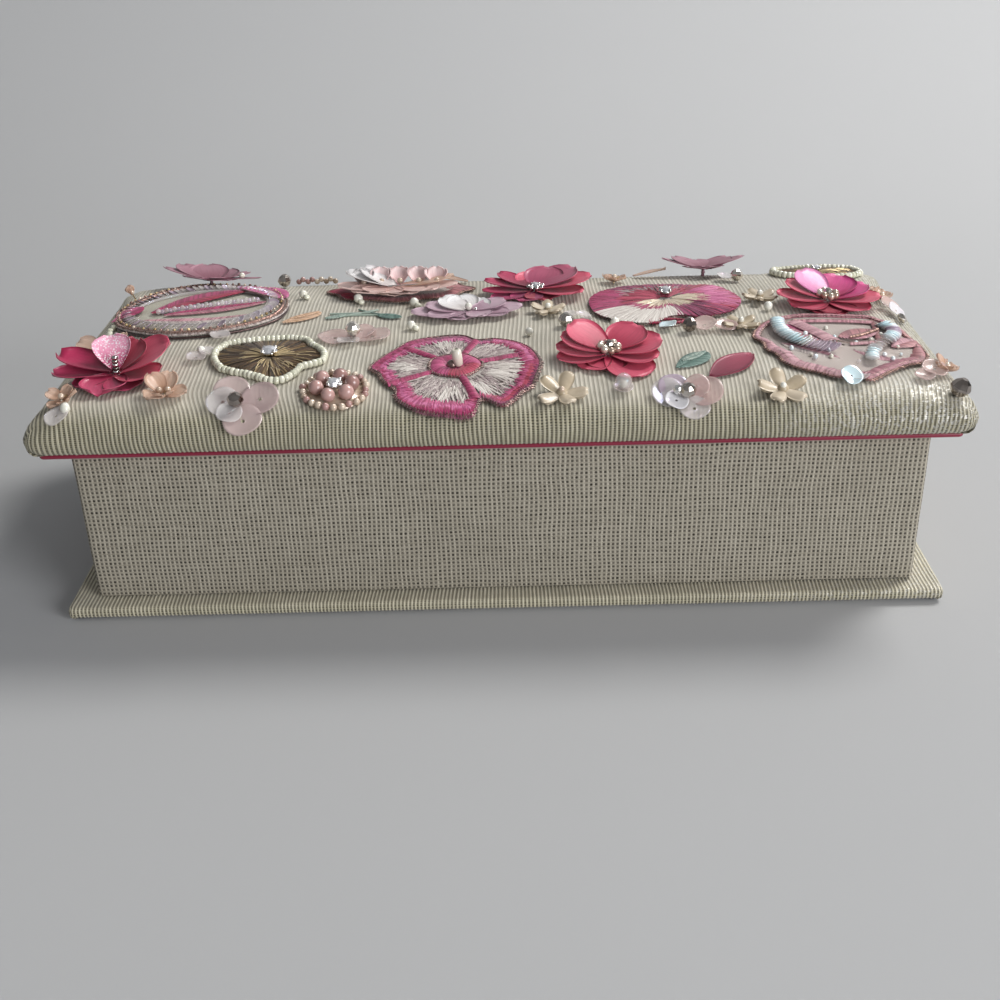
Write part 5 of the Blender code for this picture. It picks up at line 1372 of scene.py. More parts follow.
def oval(half_x, half_y, lobes=0, depth=0.0, pitch=0.42):
    """Points round an oval with lobes, evenly spaced along it."""
    angle = np.linspace(0, TURN, 721)
    size = 1 - depth * np.sin(lobes * angle / 2) ** 2
    x, y = half_x * size * np.cos(angle), half_y * size * np.sin(angle)
    run = run_along(np.column_stack([x, y]))
    want = np.arange(0.0, run[-1] - pitch / 2, pitch)
    return np.column_stack([np.interp(want, run, x), np.interp(want, run, y)])


def start_patch(node):
    """A patch's trimming, and its outline."""
    return Trim(node), outline(node)


def outward(points):
    """Unit outward directions along a closed curve."""
    ahead = np.roll(points, -1, axis=0) - np.roll(points, 1, axis=0)
    out = np.column_stack([ahead[:, 1], -ahead[:, 0]])
    return out / np.maximum(np.linalg.norm(out, axis=1, keepdims=True), 1e-12)


def azimuths(points):
    return np.degrees(np.arctan2(points[:, 1], points[:, 0])) % 360


def satin_band(trim, curve, band, sectors, hump=0.55, lift=0.5, width=0.50, jitter=0.10):
    """Satin stitches from a closed curve inwards; sectors are (from, to, finish) in degrees."""
    out = outward(curve)
    band = np.broadcast_to(band, (len(curve),))
    rough = np.array([DICE.uniform(1 - jitter, 1 + jitter) for _ in curve])
    starts = curve + out * (0.15 * rough)[:, None]
    ends = curve - out * (band * rough)[:, None]
    around = azimuths(curve)
    for low, high, finish in sectors:
        chosen = (around >= low) & (around < high)
        if chosen.any():
            trim.add(finish, stitches_shape(starts[chosen], ends[chosen], width, hump, lift),
                     lay=True, shade=shades(int(chosen.sum())))


def rope(trim, finish, path, width, hump=0.4, lift=0.8, taper=0.0):
    """A narrow band of satin stitches across a straight or bent path."""
    pitch = 0.40
    path = np.array(path, float)
    if len(path) == 3:
        path = bent(path, np.linspace(0, 1, 60)[:, None])
    run = run_along(path * MM)
    want = np.arange(pitch * MM / 2, run[-1], pitch * MM)
    spots = np.column_stack([np.interp(want, run, path[:, 0]), np.interp(want, run, path[:, 1])])
    ahead = np.gradient(spots, axis=0)
    side = np.column_stack([-ahead[:, 1], ahead[:, 0]])
    side /= np.maximum(np.linalg.norm(side, axis=1, keepdims=True), 1e-12)
    half = width / 2 * (1 - taper * want / run[-1])[:, None]
    lean = ahead / np.maximum(np.linalg.norm(ahead, axis=1, keepdims=True), 1e-12) * 0.25
    trim.add(finish, stitches_shape(spots - side * half - lean, spots + side * half + lean,
                                    pitch * 1.2, hump, lift),
             lay=True, shade=shades(len(spots)))


def zigzag_edge(trim, finish, curve, reach=0.50, lift=0.5, radius=0.15):
    """A fine metal thread that zigzags round a patch's edge."""
    side = np.where(np.arange(len(curve)) % 2, 1.0, -0.35)
    rough = np.array([DICE.uniform(0.6, 1.3) for _ in curve])
    points = curve + outward(curve) * (side * rough * reach)[:, None]
    heights = lift + 0.25 * (np.arange(len(curve)) % 2 == 0)
    trim.add(finish, tube_shape(np.column_stack([points, heights]), radius, 4, closed=True),
             lay=True, shade=shades(len(curve) + 1, 4))


def filled(trim, finish, curve, height, dome=0.0):
    """A cloth ground inside a closed curve."""
    coarse = curve[::3]
    rings = [(1.0, 0.02)] + [(share, height + dome * (1 - share ** 2))
                             for share in np.linspace(1.0, 0.02, 6)]
    rows = [np.column_stack([coarse * share, np.full(len(coarse), level)])
            for share, level in rings]
    trim.add(finish, grid_shape(np.array(rows), around=True), lay=True, shade=0.5)


def ray_stitches(trim, finish, count, near, far, sector, rim, width=0.42, hump=0.30,
                 lift=0.9, rough=0.15, bend=6):
    """Long stitches outwards over a sector in degrees, between two shares of a rim."""
    around, reach = azimuths(rim), np.linalg.norm(rim, axis=1)
    order = np.argsort(around)
    starts, ends = [], []
    for _ in range(count):
        angle = DICE.uniform(*sector)
        over = angle + DICE.uniform(-bend, bend)
        full = np.interp((angle % 360, over % 360), around[order], reach[order], period=360)
        begin = full[0] * near * (1 + DICE.uniform(-rough, rough))
        end = full[1] * min(far * (1 + DICE.uniform(-rough, rough)), 1.02)
        angle, over = math.radians(angle), math.radians(over)
        starts.append((begin * math.cos(angle), begin * math.sin(angle)))
        ends.append((end * math.cos(over), end * math.sin(over)))
    rise = np.array([lift + DICE.uniform(0, 0.6) * hump for _ in starts])
    trim.add(finish, stitches_shape(np.column_stack([starts, rise]), np.column_stack([ends, rise]),
                                    width, hump, lift), lay=True, shade=shades(count))


def make_flower_front():
    """The large sewn flower: bordered petals round a magenta ring with an upright bead."""
    trim, rim = start_patch("embroidery_flower_front")
    filled(trim, "stitched_mesh", rim * 0.96, 0.5, dome=0.3)
    bands = ((0, 6, "magenta"), (6, 60, "hot_light"), (60, 110, "plum_thread"), (110, 190, "magenta"),
             (190, 289, "hot_light"), (289, 360, "crimson"))
    around = azimuths(rim)
    band = 4.5 + 0.8 * np.cos(np.radians(around * 3))
    satin_band(trim, rim, band, bands)
    satin_band(trim, rim * 0.99, band * 0.40, ((0, 60, "magenta"), (110, 190, "hot_pink"),
                                              (190, 289, "magenta"), (289, 360, "plum_thread")),
               0.3, 0.80, 0.34, 0.45)
    satin_band(trim, rim * 0.90, band * 0.50, ((6, 60, "magenta"), (60, 190, "hot_light"),
                                              (190, 289, "hot_pink"), (289, 360, "hot_pink")),
               0.3, 0.80, 0.34, 0.45)
    for azimuth, reach in ((72, 17.5), (18, 18), (-71, 18), (-153, 20), (139, 19)):
        rope(trim, "magenta", [polar(azimuth, 6.0), polar(azimuth, reach)], 2.0, 0.5, 0.85,
             taper=-0.4)
    for sector in ((24, 66), (80, 132), (146, 200), (214, 282), (296, 372)):
        for near, far in ((0.38, 0.50), (0.47, 0.59), (0.56, 0.68), (0.65, 0.78)):
            ray_stitches(trim, "ivory_thread", 50, near, far, sector, rim, 0.36, 0.16,
                         0.72, bend=5)
            ray_stitches(trim, "grey_thread", 24, near, far, sector, rim, 0.28, 0.16,
                         0.76, bend=9)
    for middle, near, far in ((300, 0.54, 0.74), (336, 0.46, 0.70), (352, 0.48, 0.72),
                              (106, 0.56, 0.74), (266, 0.54, 0.74), (180, 0.54, 0.70)):
        ray_stitches(trim, "white_thread", 30, near, far, (middle - 9, middle + 9), rim,
                     0.42, 0.2, 0.85)
    zigzag_edge(trim, "dark_metal", rim, 0.65, 0.7, 0.19)
    zigzag_edge(trim, "dark_metal", rim * 0.985, 0.35, 1.0, 0.10)
    ring = oval(7.3, 6.6, 5, 0.05)
    filled(trim, "magenta", ring * 0.9, 0.9)
    satin_band(trim, ring, 4.4, ((0, 60, "hot_pink"), (60, 120, "magenta"),
                                 (120, 250, "hot_pink"), (250, 360, "crimson")), 0.8, 0.9)
    zigzag_edge(trim, "dark_metal", ring, 0.55, 1.15, 0.17)
    bead = lathe_shape([(0.5, 0.0), (1.0, 0.12), (1.06, 0.5), (1.0, 0.88), (0.45, 1.0),
                        (0.40, 0.7)], 12)
    stretch = Matrix.Diagonal((1.35, 1.35, 5.4, 1.0))
    trim.add("ivory_bead", bead, at(1.0, 0, 0.9, 1.0, 7, 200) @ stretch)
    trim.add("dark_metal", BALL, at(-0.9, 0.2, 1.1, 1.5))
    trim.make()


# Finish, count, from and to which share of the rim, sector, height, and width and hump
RIGHT_STITCHES = (
    ("dusty_thread", 130, 0.6, 0.98, (35, 145), 0.7),
    ("plum_thread", 130, 0.7, 1.02, (30, 150), 0.85),
    ("grey_thread", 50, 0.45, 0.8, (60, 170), 1),
    ("crimson", 150, 0.6, 1, (30, 185), 0.8),
    ("plum_thread", 130, 0.45, 0.95, (160, 212), 0.8),
    ("magenta", 150, 0.55, 1, (150, 215), 0.9),
    ("white_thread", 300, 0.42, 0.97, (208, 284), 1, 0.55, 0.35),
    ("magenta", 120, 0.2, 0.62, (200, 290), 1.1),
    ("crimson", 220, 0.3, 0.98, (270, 330), 0.8),
    ("magenta", 200, 0.35, 1, (272, 345), 1),
    ("hot_pink", 150, 0.4, 1, (-36, 40), 0.9, 0.5, 0.4),
    ("hot_light", 190, 0.45, 0.98, (-24, 34), 1, 0.55, 0.5),
    ("crimson", 110, 0.1, 0.62, (40, 200), 1.1),
    ("gold_cream", 150, 0.12, 0.66, (-14, 16), 1.3, 0.45),
    ("magenta", 60, 0.3, 0.75, (-22, 22), 1.35, 0.36),
    ("crimson", 70, 0.5, 1.05, (-40, 44), 1.25, 0.34),
    ("plum_thread", 50, 0.35, 1, (282, 335), 1.2, 0.34),
    ("gold_cream", 90, 0.1, 0.45, (200, 345), 1.2),
)


def make_flower_right():
    """The long-stitched flower."""
    trim, rim = start_patch("embroidery_flower_right")
    filled(trim, "stitched_mesh", rim * 0.95, 0.5, dome=0.5)
    for finish, count, near, far, sector, lift, *size in RIGHT_STITCHES:
        ray_stitches(trim, finish, count, near, far, sector, rim, *size, lift=lift)
    zigzag_edge(trim, "dark_metal", rim, 0.4)
    part = oval(5.2, 1.5) + np.array((-1.5, -18.8))
    zigzag_edge(trim, "crimson", part, 0.4, 0.8, 0.45)
    add_stone(trim, 0.5, 3.0, 1.7, 3.8)
    trim.make()


def leaf_stitches(trim, finish, start, end, width, lift, bow=0.0, lean=0.5, split=None):
    """A leaf of slanting satin stitches on both sides of its vein."""
    start, end = np.array(start), np.array(end)
    ahead = end - start
    length = np.linalg.norm(ahead)
    ahead = ahead / length
    side = np.array((-ahead[1], ahead[0]))
    pitch = 0.42
    count = int(length / pitch)
    shares = (np.arange(count) + 0.5) / count
    vein = (start + np.outer(shares * length, ahead)
            + np.outer(bow * np.sin(math.pi * shares), side))
    half = width / 2 * np.sin(math.pi * shares ** 0.8) ** 0.7
    for sign in (1, -1):
        tips = vein + np.outer(half, side) * sign + np.outer(half * lean, ahead)
        chosen = split if (split and sign < 0) else finish
        trim.add(chosen, stitches_shape(vein, tips, pitch * 1.2, 0.25, lift),
                 lay=True, shade=shades(count))


def make_oval():
    """The oval patch: a copper and ivory rim that stands, net, leaves and clear beads."""
    trim, rim = start_patch("embroidery_oval")
    filled(trim, "net", rim * 0.97, 0.9)
    satin_band(trim, rim, 1.5, ((0, 360, "ivory_thread"),), 0.6, 1.2)
    satin_band(trim, rim * 0.958, 1.0, ((0, 360, "copper_thread"),), 0.5, 1.6)
    zigzag_edge(trim, "copper_thread", rim * 0.985, 0.5, 1.9, 0.18)
    # A dark tube round the rim's foot: a painted shadow line where the rim stands off the lid
    dark = np.column_stack([rim * 0.995, np.full(len(rim), 0.45)])
    trim.add("dark_metal", tube_shape(dark, 0.42, 6, closed=True), lay=True, shade=0.1)
    cups = oval(22.6, 19.0, pitch=1.9)
    for index, (x, y) in enumerate(cups):
        azimuth = math.degrees(math.atan2(y * 2.0, x)) + 90
        trim.add("clear_cup" if index % 3 else "lilac_cup", cup_shape(3.5, 0.4, sides=10),
                 at(x, y, 1.6, 1.0, -26 + DICE.uniform(-8, 8), azimuth), lay=True)
    inner = oval(20.6, 16.4, pitch=1.2)
    trim.add("clear_cup", tube_shape(np.column_stack([inner, np.full(len(inner), 1.5)]),
                                     0.5, 6, closed=True), lay=True)
    for x, y in oval(25.0, 22.6, pitch=2.1):
        trim.add(DICE.choice(("gold_thread", "copper_thread", "cream_pearl")), SMALL_BALL,
                 at(x, y, 2.1, DICE.uniform(0.35, 0.6)), lay=True)
    leaf_stitches(trim, "rose_light", (-16, -9.0), (17, -8.0), 5.0, 1.0, bow=-4.0,
                  split="ivory_thread")
    leaf_stitches(trim, "magenta", (-14.5, -4.0), (13, 15.0), 9.6, 1.6, bow=3.2, split="crimson")
    leaf_stitches(trim, "magenta", (-10, -6.6), (20, 2.0), 5.4, 1.4, bow=-1.2, split="rose_thread")
    leaf_stitches(trim, "hot_light", (9.0, 18.0), (26.0, 3.5), 8.6, 1.9, bow=2.0, split="hot_light")
    rope(trim, "copper_thread", [(10, 14.6), (16.5, 8.0), (25, 1.0)], 0.6, lift=2.0)
    leaf_stitches(trim, "hot_pink", (-26.0, -7.0), (-18.5, 2.0), 7.4, 1.9, split="magenta")
    for step in range(13):
        share = step / 12
        x, y = -12 + 28 * share, -4.4 + 7.0 * share
        trim.add("clear_cup", SMALL_BALL, at(x, y, 2.2, 0.9), lay=True)
        trim.add("lilac_cup", SMALL_BALL, at(x + 1.1, y + 0.5, 1.9, 0.8), lay=True)
    trim.make()


def stack_of_cups(trim, points, count, width, finishes):
    """Sequins stacked along a bent line, each leaning on the next."""
    a, b, c = (np.array(point) for point in points)
    for step in range(count):
        share = step / (count - 1)
        x, y = bent((a, b, c), share)
        ahead = 2 * (1 - share) * (b - a) + 2 * share * (c - b)
        azimuth = math.degrees(math.atan2(ahead[1], ahead[0]))
        trim.add(finishes[int(share * len(finishes) * 0.999)],
                 cup_shape(width, 0.11 * width, sides=14),
                 at(x, y, 2.0, 1.0, -40 + DICE.uniform(-7, 7), azimuth), lay=True)


def make_shell():
    """The scalloped patch: rose border, rows of stacked sequins and a small leaf."""
    trim, rim = start_patch("embroidery_shell")
    filled(trim, "rose_net", rim * 0.97, 0.6, dome=0.3)
    around = azimuths(rim)
    front = np.cos(np.radians(around - 268))
    band = 1.6 + 2.6 * smoothstep(front, -0.3, 0.4)
    satin_band(trim, rim, band, ((0, 30, "dusty_thread"), (30, 150, "rose_thread"),
                                 (150, 272, "rose_light"), (272, 330, "rose_thread"),
                                 (330, 360, "dusty_thread")), 0.7, 0.6)
    zigzag_edge(trim, "copper_thread", rim, 0.7, 0.8, 0.20)
    zigzag_edge(trim, "dark_metal", rim * 0.93, 0.5, 1.1, 0.12)
    triangle = np.array([(-10.5, 17.0), (12.5, 16.5), (10.5, 1.5), (2.0, 0.0), (-2.5, 2.0)])
    for first, last, width, finish in ((0, 1, 2.0, "rose_thread"), (0, 4, 4.4, "rose_light"),
                                       (1, 2, 1.6, "dusty_thread"), (2, 3, 1.8, "rose_light")):
        rope(trim, finish, [triangle[first], triangle[last]], width, lift=1.2)
    steps = np.linspace(0, 1, 26, endpoint=False)
    edges = np.concatenate([triangle[i] + np.outer(steps, triangle[(i + 1) % 5] - triangle[i])
                            for i in range(5)])[::-1]
    zigzag_edge(trim, "copper_thread", edges * 1.02, 0.5, 1.4, 0.16)
    leaf_stitches(trim, "hot_pink", (-14.5, 16.0), (-1.5, 1.0), 7.0, 0.7, split="rose_thread")
    leaf_stitches(trim, "rose_light", (-17.0, 1.0), (-3.0, -9.0), 5.0, 0.7, split="ivory_thread")
    leaf_stitches(trim, "ivory_thread", (2.0, -3.0), (14.0, -10.0), 6.0, 0.7, split="rose_light")
    for _ in range(26):
        angle, reach = DICE.uniform(0, TURN), DICE.uniform(4, 17)
        trim.add(DICE.choice(("clear_cup", "ice_cup", "white_pearl")), SMALL_BALL,
                 at(reach * math.cos(angle), reach * 0.8 * math.sin(angle) - 2, 1.3,
                    DICE.uniform(0.5, 0.8)), lay=True)
    stack_of_cups(trim, ((-15.5, 15.5), (-17.0, 6.0), (-13.0, 1.5)), 13, 4.4, ("ice_cup",))
    stack_of_cups(trim, ((-12.5, 0.5), (-9.0, -3.5), (-3.5, -5.0)), 11, 4.4,
                  ("ice_cup", "lilac_cup", "lilac_cup"))
    stack_of_cups(trim, ((14.0, 13.5), (18.5, 8.5), (13.0, 2.0)), 13, 4.4,
                  ("ice_cup", "lilac_cup", "ice_cup"))
    stack_of_cups(trim, ((12.0, 0.5), (6.0, -5.0), (5.0, -12.0)), 10, 4.0, ("clear_cup", "ice_cup"))
    leaf_stitches(trim, "dusty_thread", (-0.5, 3.6), (11.5, 9.5), 6.6, 1.5, split="rose_thread")
    rope(trim, "copper_thread", [(2.5, 3.0), (7.0, 5.0), (12.0, 9.6)], 1.3, lift=1.9)
    leaf_stitches(trim, "rose_light", (13.0, -2.0), (21.5, 5.0), 6.0, 1.1, split="dusty_thread")
    trim.make()


def make_blush_patch():
    """The rose patch under the blush flower, with a copper outline."""
    node = "embroidery_blush"
    trim = Trim(node)
    low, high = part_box(node)
    half = (high - low) / 2 / MM
    rim = oval(half.x - 0.3, half.y - 0.3, 8, 0.10)
    filled(trim, "stitched_mesh", rim * 0.96, 0.5)
    satin_band(trim, rim, 5.5, ((0, 170, "dusty_thread"), (170, 215, "crimson"),
                                (215, 360, "dusty_thread")), 0.5, 0.5)
    zigzag_edge(trim, "copper_thread", rim, 0.6, 0.6, 0.20)
    trim.make()


def make_clover(node, stone):
    """A string of seed beads round dark metal stitches, with a stone in the middle."""
    trim, fill = start_patch(node)
    beads = outline(node, 1.40)
    filled(trim, "bronze_thread", fill * 0.93, 0.35)
    ray_stitches(trim, "bronze_thread", 240, 0.15, 0.92, (0, 360), fill, lift=0.5, rough=0.1)
    ray_stitches(trim, "bronze_dark", 150, 0.2, 0.9, (0, 360), fill, lift=0.6, rough=0.2)
    ray_stitches(trim, "gold_thread", 60, 0.10, 0.50, (0, 360), fill, 0.3, lift=0.9)
    ray_stitches(trim, "gold_thread", 26, 0.5, 0.8, (250, 380), fill, 0.3, lift=0.9)
    ahead = np.roll(beads, -1, axis=0) - np.roll(beads, 1, axis=0)
    for index, (x, y) in enumerate(beads):
        azimuth = math.degrees(math.atan2(ahead[index][1], ahead[index][0]))
        place = at(x + DICE.uniform(-0.12, 0.12), y + DICE.uniform(-0.12, 0.12),
                   1.0, DICE.uniform(1.02, 1.16), 90 + DICE.uniform(-8, 8),
                   azimuth + DICE.uniform(-9, 9))
        trim.add("seed", RING_BEAD, place, lay=True)
    add_stone(trim, 0, 0.5, 1.1, stone)
    trim.make()


def make_pearl_cluster():
    """Rose pearls round a stone, in a ring of cream ones."""
    trim = Trim("pearl_cluster")
    trim.add("cream_pearl", lathe_shape([(8.4, -0.9), (8.4, 0.1), (0.1, 0.3)], 24), shade=0.0)
    for step in range(6):
        angle = TURN * (step + 0.25) / 6
        reach = 4.7 + DICE.uniform(-0.2, 0.3)
        add_pearl(trim, "rose_pearl", reach * math.cos(angle), reach * math.sin(angle),
                  DICE.uniform(3.9, 4.5), 0.0)
    for step in range(25):
        angle = TURN * step / 25
        reach = 8.5 + DICE.uniform(-0.3, 0.35)
        add_pearl(trim, "cream_pearl" if step % 3 else "rose_pearl", reach * math.cos(angle),
                  reach * math.sin(angle), DICE.uniform(1.8, 2.2), -0.3)
    add_stone(trim, 0, 0, 1.6, 4.0)
    trim.make()


SEQUIN_DISCS = {
    "sequin_flower_mauve": (("mauve_cup", 122, 10.0, 7), ("mauve_cup", 20, 10.4, 6),
                            ("mauve_cup", 282, 10.4, 4), ("clear_cup", 168, 9.0, 4),
                            ("clear_cup", 228, 7.0, 8)),
    "sequin_flower_pink": (("pink_cup", 172, 10.5, 5), ("pink_cup", 8, 10.5, 5),
                           ("pink_cup", 60, 8.0, 8), ("clear_cup", 250, 6.6, 6)),
    "sequin_flower_white": (("lilac_cup", 136, 8.5, 8), ("clear_cup", 165, 9.4, 4),
                            ("clear_cup", 290, 8.4, 8), ("pink_cup", 12, 9.5, 10),
                            ("pink_cup", 46, 7.0, 14), ("white_cup", 212, 6.4, 10)),
}


def make_sequin_flowers():
    """Loose flowers of large soft discs that lie down the lid's slope, with a metal bead."""
    for node, discs in SEQUIN_DISCS.items():
        trim = Trim(node)
        for index, (finish, azimuth, width, tilt) in enumerate(discs):
            trim.add(finish, cup_shape(width, 0.06 * width, waves=0.25, sides=24),
                     at(*polar(azimuth, width * 0.46 + 0.6), 0.5 + 0.22 * index, 1.0, -tilt,
                        azimuth))
        shift = -0.8 if node.endswith("mauve") else 0.0
        trim.add("bead_silver", FACETED, at(shift, 0, 3.4, 2.2), smooth=False)
        if node == "sequin_flower_white":
            trim.add("silver", FACETED, at(-2.4, 0.6, 2.9, 1.5), smooth=False)
        trim.make()


# Moulded flowers, leaves and loose beads

def make_resin_flowers():
    for index in range(1, 6):
        node = f"cream_flower_{index}"
        low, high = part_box(node)
        trim = Trim(node)
        reach = (high.x - low.x) / 2 / MM
        turn = DICE.uniform(0, 72)
        for step in range(5):
            shape = petal_shape(reach * 1.05, reach * 0.62, root=0.42, peak=0.72, cup=-0.14,
                                rise=0.10, point=0.45, thick=0.9)
            trim.add("cream_resin", shape,
                     turned(turn + 72 * step + DICE.uniform(-5, 5), 9 + DICE.uniform(-4, 8),
                            0.05 * reach, 1.0), shade=DICE.uniform(0.3, 1))
        trim.add("cream_resin", BALL, at(0, 0, 1.1, reach * 0.26), shade=0.2)
        add_pearl(trim, "white_pearl" if index != 2 else "cream_pearl", 0, 0, 1.9, 1.5)
        trim.make()
    for index in range(1, 7):
        node = f"peach_flower_{index}"
        low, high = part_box(node)
        reach = (high.x - low.x) / 2 / MM
        trim = Trim(node)
        standing = index == 6
        rows = []
        for step in range(5):
            rows.append((72 * step + DICE.uniform(-18, 18), reach * DICE.uniform(0.9, 1.15),
                         reach * 0.95, (58 if standing else 14) + DICE.uniform(-12, 20),
                         "peach_film"))
        add_petals(trim, rows, 0.3, 3.2 if standing else 0.5, cup=0.16, rise=0.1, curl=0.08,
                   ruffle=0.35)
        stem = (0.2, 0.0, 3.4) if standing else (1.8, 0.2, 2.0)
        trim.add("gold_thread", tube_shape([(0, 0, 0), (0.3, 0.2, 1.4), stem], 0.22, 5))
        for x, y in (((-1.1, 0.2), (1.2, 0.4)) if index == 1 else ((0.2, 0.0),)):
            add_pearl(trim, "cream_pearl", x, y, 1.8, 3.2 if standing else 1.2)
        trim.make()


def make_leaves():
    sprig = Trim("sprig_teal")
    for points in (((-10.5, -1.5), (-2, 0.5), (5, 4.5)), ((-5, 0.0), (1, 1), (9.5, -1.0)),
                   ((-1, 5.2), (2.5, 2.0), (9, -1.2)), ((-9.5, 1.9), (-3, 1.8), (3, 2.2))):
        line = bent(np.array(points, float), np.linspace(0, 1, 12)[:, None])
        sprig.add("pale_teal", tube_shape(np.column_stack([line, np.full(12, 0.28)]),
                                          0.30, 6), lay=True)
    leaf_stitches(sprig, "teal", (5.0, -0.6), (12.6, -3.2), 4.0, 0.4)
    leaf_stitches(sprig, "pale_teal", (-10.5, -2.2), (-4.5, 0.6), 2.6, 0.3)
    sprig.make()
    for node, finish, start, end, width in (
            ("leaf_peach", "peach_leaf", (-5.2, -3.6), (5.6, 4.4), 5.0),
            ("leaf_teal", "teal", (-4.8, -4.4), (4.8, 4.4), 6.6)):
        trim = Trim(node)
        leaf_stitches(trim, finish, start, end, width, 0.35, lean=0.8)
        leaf_stitches(trim, "pale_teal" if finish == "teal" else finish,
                      (start[0] * 0.6, start[1] * 0.2), (end[0] * 0.9, end[1] * 1.1),
                      width * 0.4, 0.6)
        trim.make()
    trim = Trim("leaf_pink")
    shape = petal_shape(18.5, 8.4, root=0.05, peak=0.52, cup=0.04, point=0.75, thick=0.4)
    trim.add("pink_leaf", shape, at(-6.6, -6.2, 0.7, 1.0, 0, -47), lay=True)
    trim.make()


def make_loose_trims():
    """Pearls, beads, stones and sequins sewn singly."""
    pearls = Trim("loose_pearls", (0, 0))
    for x, y, width in ((-113.4, -50.0, 2.8), (-83.9, -17.9, 2.6), (-61.2, 28.2, 2.8),
                        (-43.2, 21.8, 3.0), (-25.6, 17.1, 2.9), (-25.3, -2.9, 2.8),
                        (34.1, -4.2, 2.7), (9.1, -10.1, 2.4), (80.4, 6.1, 2.8), (13, 43, 2.6)):
        add_pearl(pearls, "white_pearl", x, y, width, 0.1, lay=True)
    for step in range(9):
        x, y = -65.5 + 1.5 * step, 47.6 - 0.5 * (step % 2)
        add_pearl(pearls, "rose_pearl" if step < 4 else "cream_pearl", x, y, 1.9,
                  0.6 + 0.7 * (step % 2), lay=True)
    for x, y in ((-42.2, 20.4), (-24.4, 15.8), (-23.9, -3.8), (-60.0, 27.0), (-116.6, 5.0),
                 (-117.0, 7.2), (-116.4, 9.2), (35.4, -5.2)):
        pearls.add("seed", RING_BEAD, at(x, y, 0.9, 1.0, 20, 40), lay=True)
    pearls.make()

    front = Trim("pearl_front")
    front.add("clear_cup", cup_shape(5.6, 0.7), at(0, 0, 0.4))
    front.add("white_pearl", BALL, at(0, 0, 1.6, 1.1))
    front.add("clear_cup", BALL, at(0, 0, 2.6, 2.3))
    front.make()

    metal = Trim("silver_bead")
    metal.add("gunmetal", FACETED, at(0, 0, 2.2, 2.2), smooth=False)
    metal.add("clear_cup", cup_shape(5.4, 0.7), at(5.4, 0.8, 0.6, 1, -24, 20))
    metal.make()
    ball = Trim("faceted_ball")
    ball.add("bead_silver", FACETED, at(0, 0, 2.7, 2.7, 14, 60), smooth=False)
    ball.make()

    loose = Trim("loose_beads", (0, 0))
    for x, y, width in ((54.9, -10.6, 4.4), (75.8, 35.6, 4.0), (119.0, 1.0, 2.8),
                        (-69.6, 44.6, 4.4), (18.2, 47.5, 3.4), (15.6, 47.8, 2.6)):
        loose.add("bead_silver", FACETED,
                  at(x, y, width * 0.55, width / 2, 10, x), lay=True, smooth=False)
    loose.make()

    films = Trim("loose_films", (0, 0))
    for x, y, length, azimuth, tilt in ((-115.5, -8.6, 10, 150, 26), (-112, -12, 8, 60, 20),
                                        (-10, 45.0, 12, 172, 9), (3, 45.6, 13, 12, 10),
                                        (44, 45.6, 11, 10, 10)):
        shape = petal_shape(length, length * 0.6, root=0.3, cup=0.10, ruffle=0.25)
        films.add("peach_film", shape, Matrix.Translation((x, y, 0.6))
                  @ turned(azimuth, tilt), lay=True)
    films.make()

    cups = Trim("loose_sequins", (0, 0))
    for x, y, width, finish, tilt in (
            (-84.4, -22.5, 5.6, "clear_cup", 8), (-80.9, -5.8, 6.0, "clear_cup", 6),
            (-82.0, -19.0, 4.6, "clear_cup", 16), (92.9, -45.5, 6.0, "ice_cup", -20),
            (95.5, -46.5, 4.6, "clear_cup", 24), (49.1, -7.6, 5.2, "ice_cup", 12),
            (25.2, 1.8, 5.2, "clear_cup", 14), (72.1, 36.8, 5.2, "white_cup", 16),
            (116, -41, 7.0, "pink_cup", 14), (112.5, -44.5, 5.5, "pink_cup", 8),
            (59.5, -8.6, 7.4, "pink_cup", 12), (65.5, -9.6, 6.5, "pink_cup", 10),
            (-115.4, -52.0, 6.4, "clear_cup", 4), (117.6, 9.5, 6.0, "pink_cup", 26),
            (118.4, 5.5, 5.0, "white_cup", 30), (112, 14, 6.0, "pink_cup", 12),
            (21.5, 3.8, 4.2, "clear_cup", 10)):
        cups.add(finish, cup_shape(width, 0.13 * width, waves=0.2, sides=20),
                 at(x, y, 0.6 + 0.5 * width * math.sin(math.radians(abs(tilt))),
                    1.0, -tilt, x * 7), lay=True)
    cups.make()


DICE = random.Random(7)
ground = Ground(lid_skin)
make_oval()
make_flower_front()
make_flower_right()
make_shell()
make_blush_patch()
make_clover("bead_clover_left", 4.4)
make_clover("bead_clover_right", 3.0)
make_mauve_flowers()
make_coral_flowers()
make_crimson_flower()
make_lilac_flower()
make_blush_flower()
make_pearl_cluster()
make_sequin_flowers()
make_resin_flowers()
make_leaves()
make_loose_trims()


# Camera, floor and light

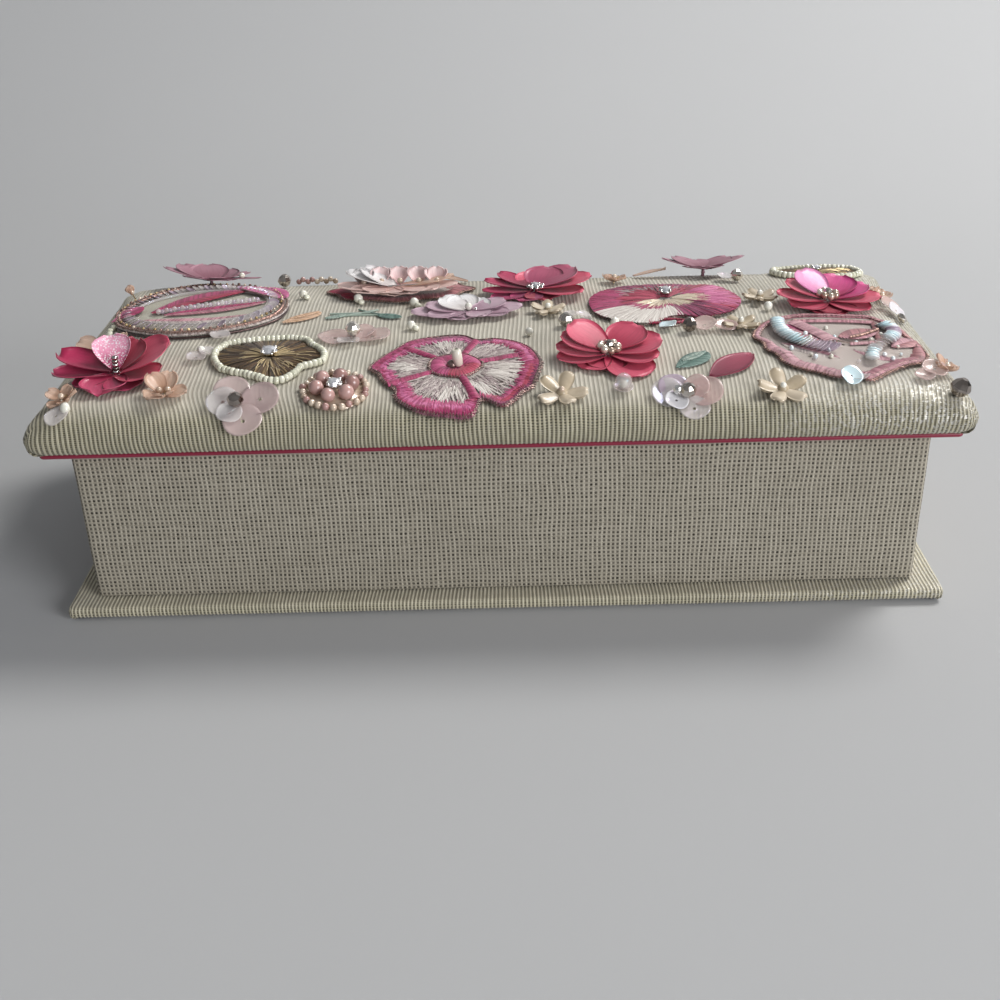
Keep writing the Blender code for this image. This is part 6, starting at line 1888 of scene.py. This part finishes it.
def set_camera():
    """The photograph's view."""
    pitch, yaw, roll = (math.radians(a) for a in (CAMERA_PITCH, CAMERA_YAW, CAMERA_ROLL))
    forward = Vector((-math.sin(yaw) * math.cos(pitch), math.cos(yaw) * math.cos(pitch),
                      -math.sin(pitch)))
    level = Vector((math.cos(yaw), math.sin(yaw), 0.0))
    above = level.cross(forward)
    right = math.cos(roll) * level + math.sin(roll) * above
    up = -math.sin(roll) * level + math.cos(roll) * above
    data = bpy.data.cameras.new("camera")
    data.lens = LENS
    data.sensor_width = SENSOR
    data.clip_start = 0.01
    camera = bpy.data.objects.new("camera", data)
    facing = Matrix((right, up, -forward)).transposed().to_4x4()
    camera.matrix_world = Matrix.Translation(CAMERA_PLACE) @ facing
    bpy.context.scene.collection.objects.link(camera)
    bpy.context.scene.camera = camera


def set_floor():
    """A pale paper sweep that turns up behind the box, and a world of the same tone."""
    bend, back, half = 0.5, 0.75, 4.0
    line = [(-4.0, 0.0), (back - bend, 0.0)]
    line += [(back - bend + bend * math.sin(a), bend * (1 - math.cos(a)))
             for a in np.arange(1, 13) * TURN / 48]
    line.append((back, 3.0))
    points = [(x, y, z) for y, z in line for x in (-half, half)]
    floor = new_mesh("floor", points, grid_faces(len(line), 2))
    paint = Paint("floor", Roughness=0.95)
    paint.color(paint.mix(paint.noise(3.0, 2.0), (0.445, 0.45, 0.455), (0.465, 0.47, 0.475)))
    floor.data.materials.append(paint.material)
    world = bpy.data.worlds.new("studio")
    world.use_nodes = True
    sky = world.node_tree.nodes["Background"]
    sky.inputs["Color"].default_value = (0.95, 0.97, 1.0, 1.0)
    sky.inputs["Strength"].default_value = 0.27
    bpy.context.scene.world = world


def add_lamp(name, place, size, power, color):
    """A soft box that faces the middle of the lid."""
    data = bpy.data.lights.new(name, "AREA")
    data.shape = "DISK"
    data.size = size
    data.energy = power
    data.color = color
    lamp = bpy.data.objects.new(name, data)
    aim = Vector((0, 0, 0.04)) - Vector(place)
    lamp.matrix_world = (Matrix.Translation(place)
                         @ aim.to_track_quat("-Z", "Y").to_matrix().to_4x4())
    bpy.context.scene.collection.objects.link(lamp)


set_camera()
set_floor()
add_lamp("key", (0.80, 0.55, 1.20), 0.60, 17.8, (1.0, 0.985, 0.96))
add_lamp("fill", (1.20, -1.15, 0.48), 0.9, 23.0, (0.98, 0.98, 1.0))
bpy.context.scene.view_settings.view_transform = "Standard"
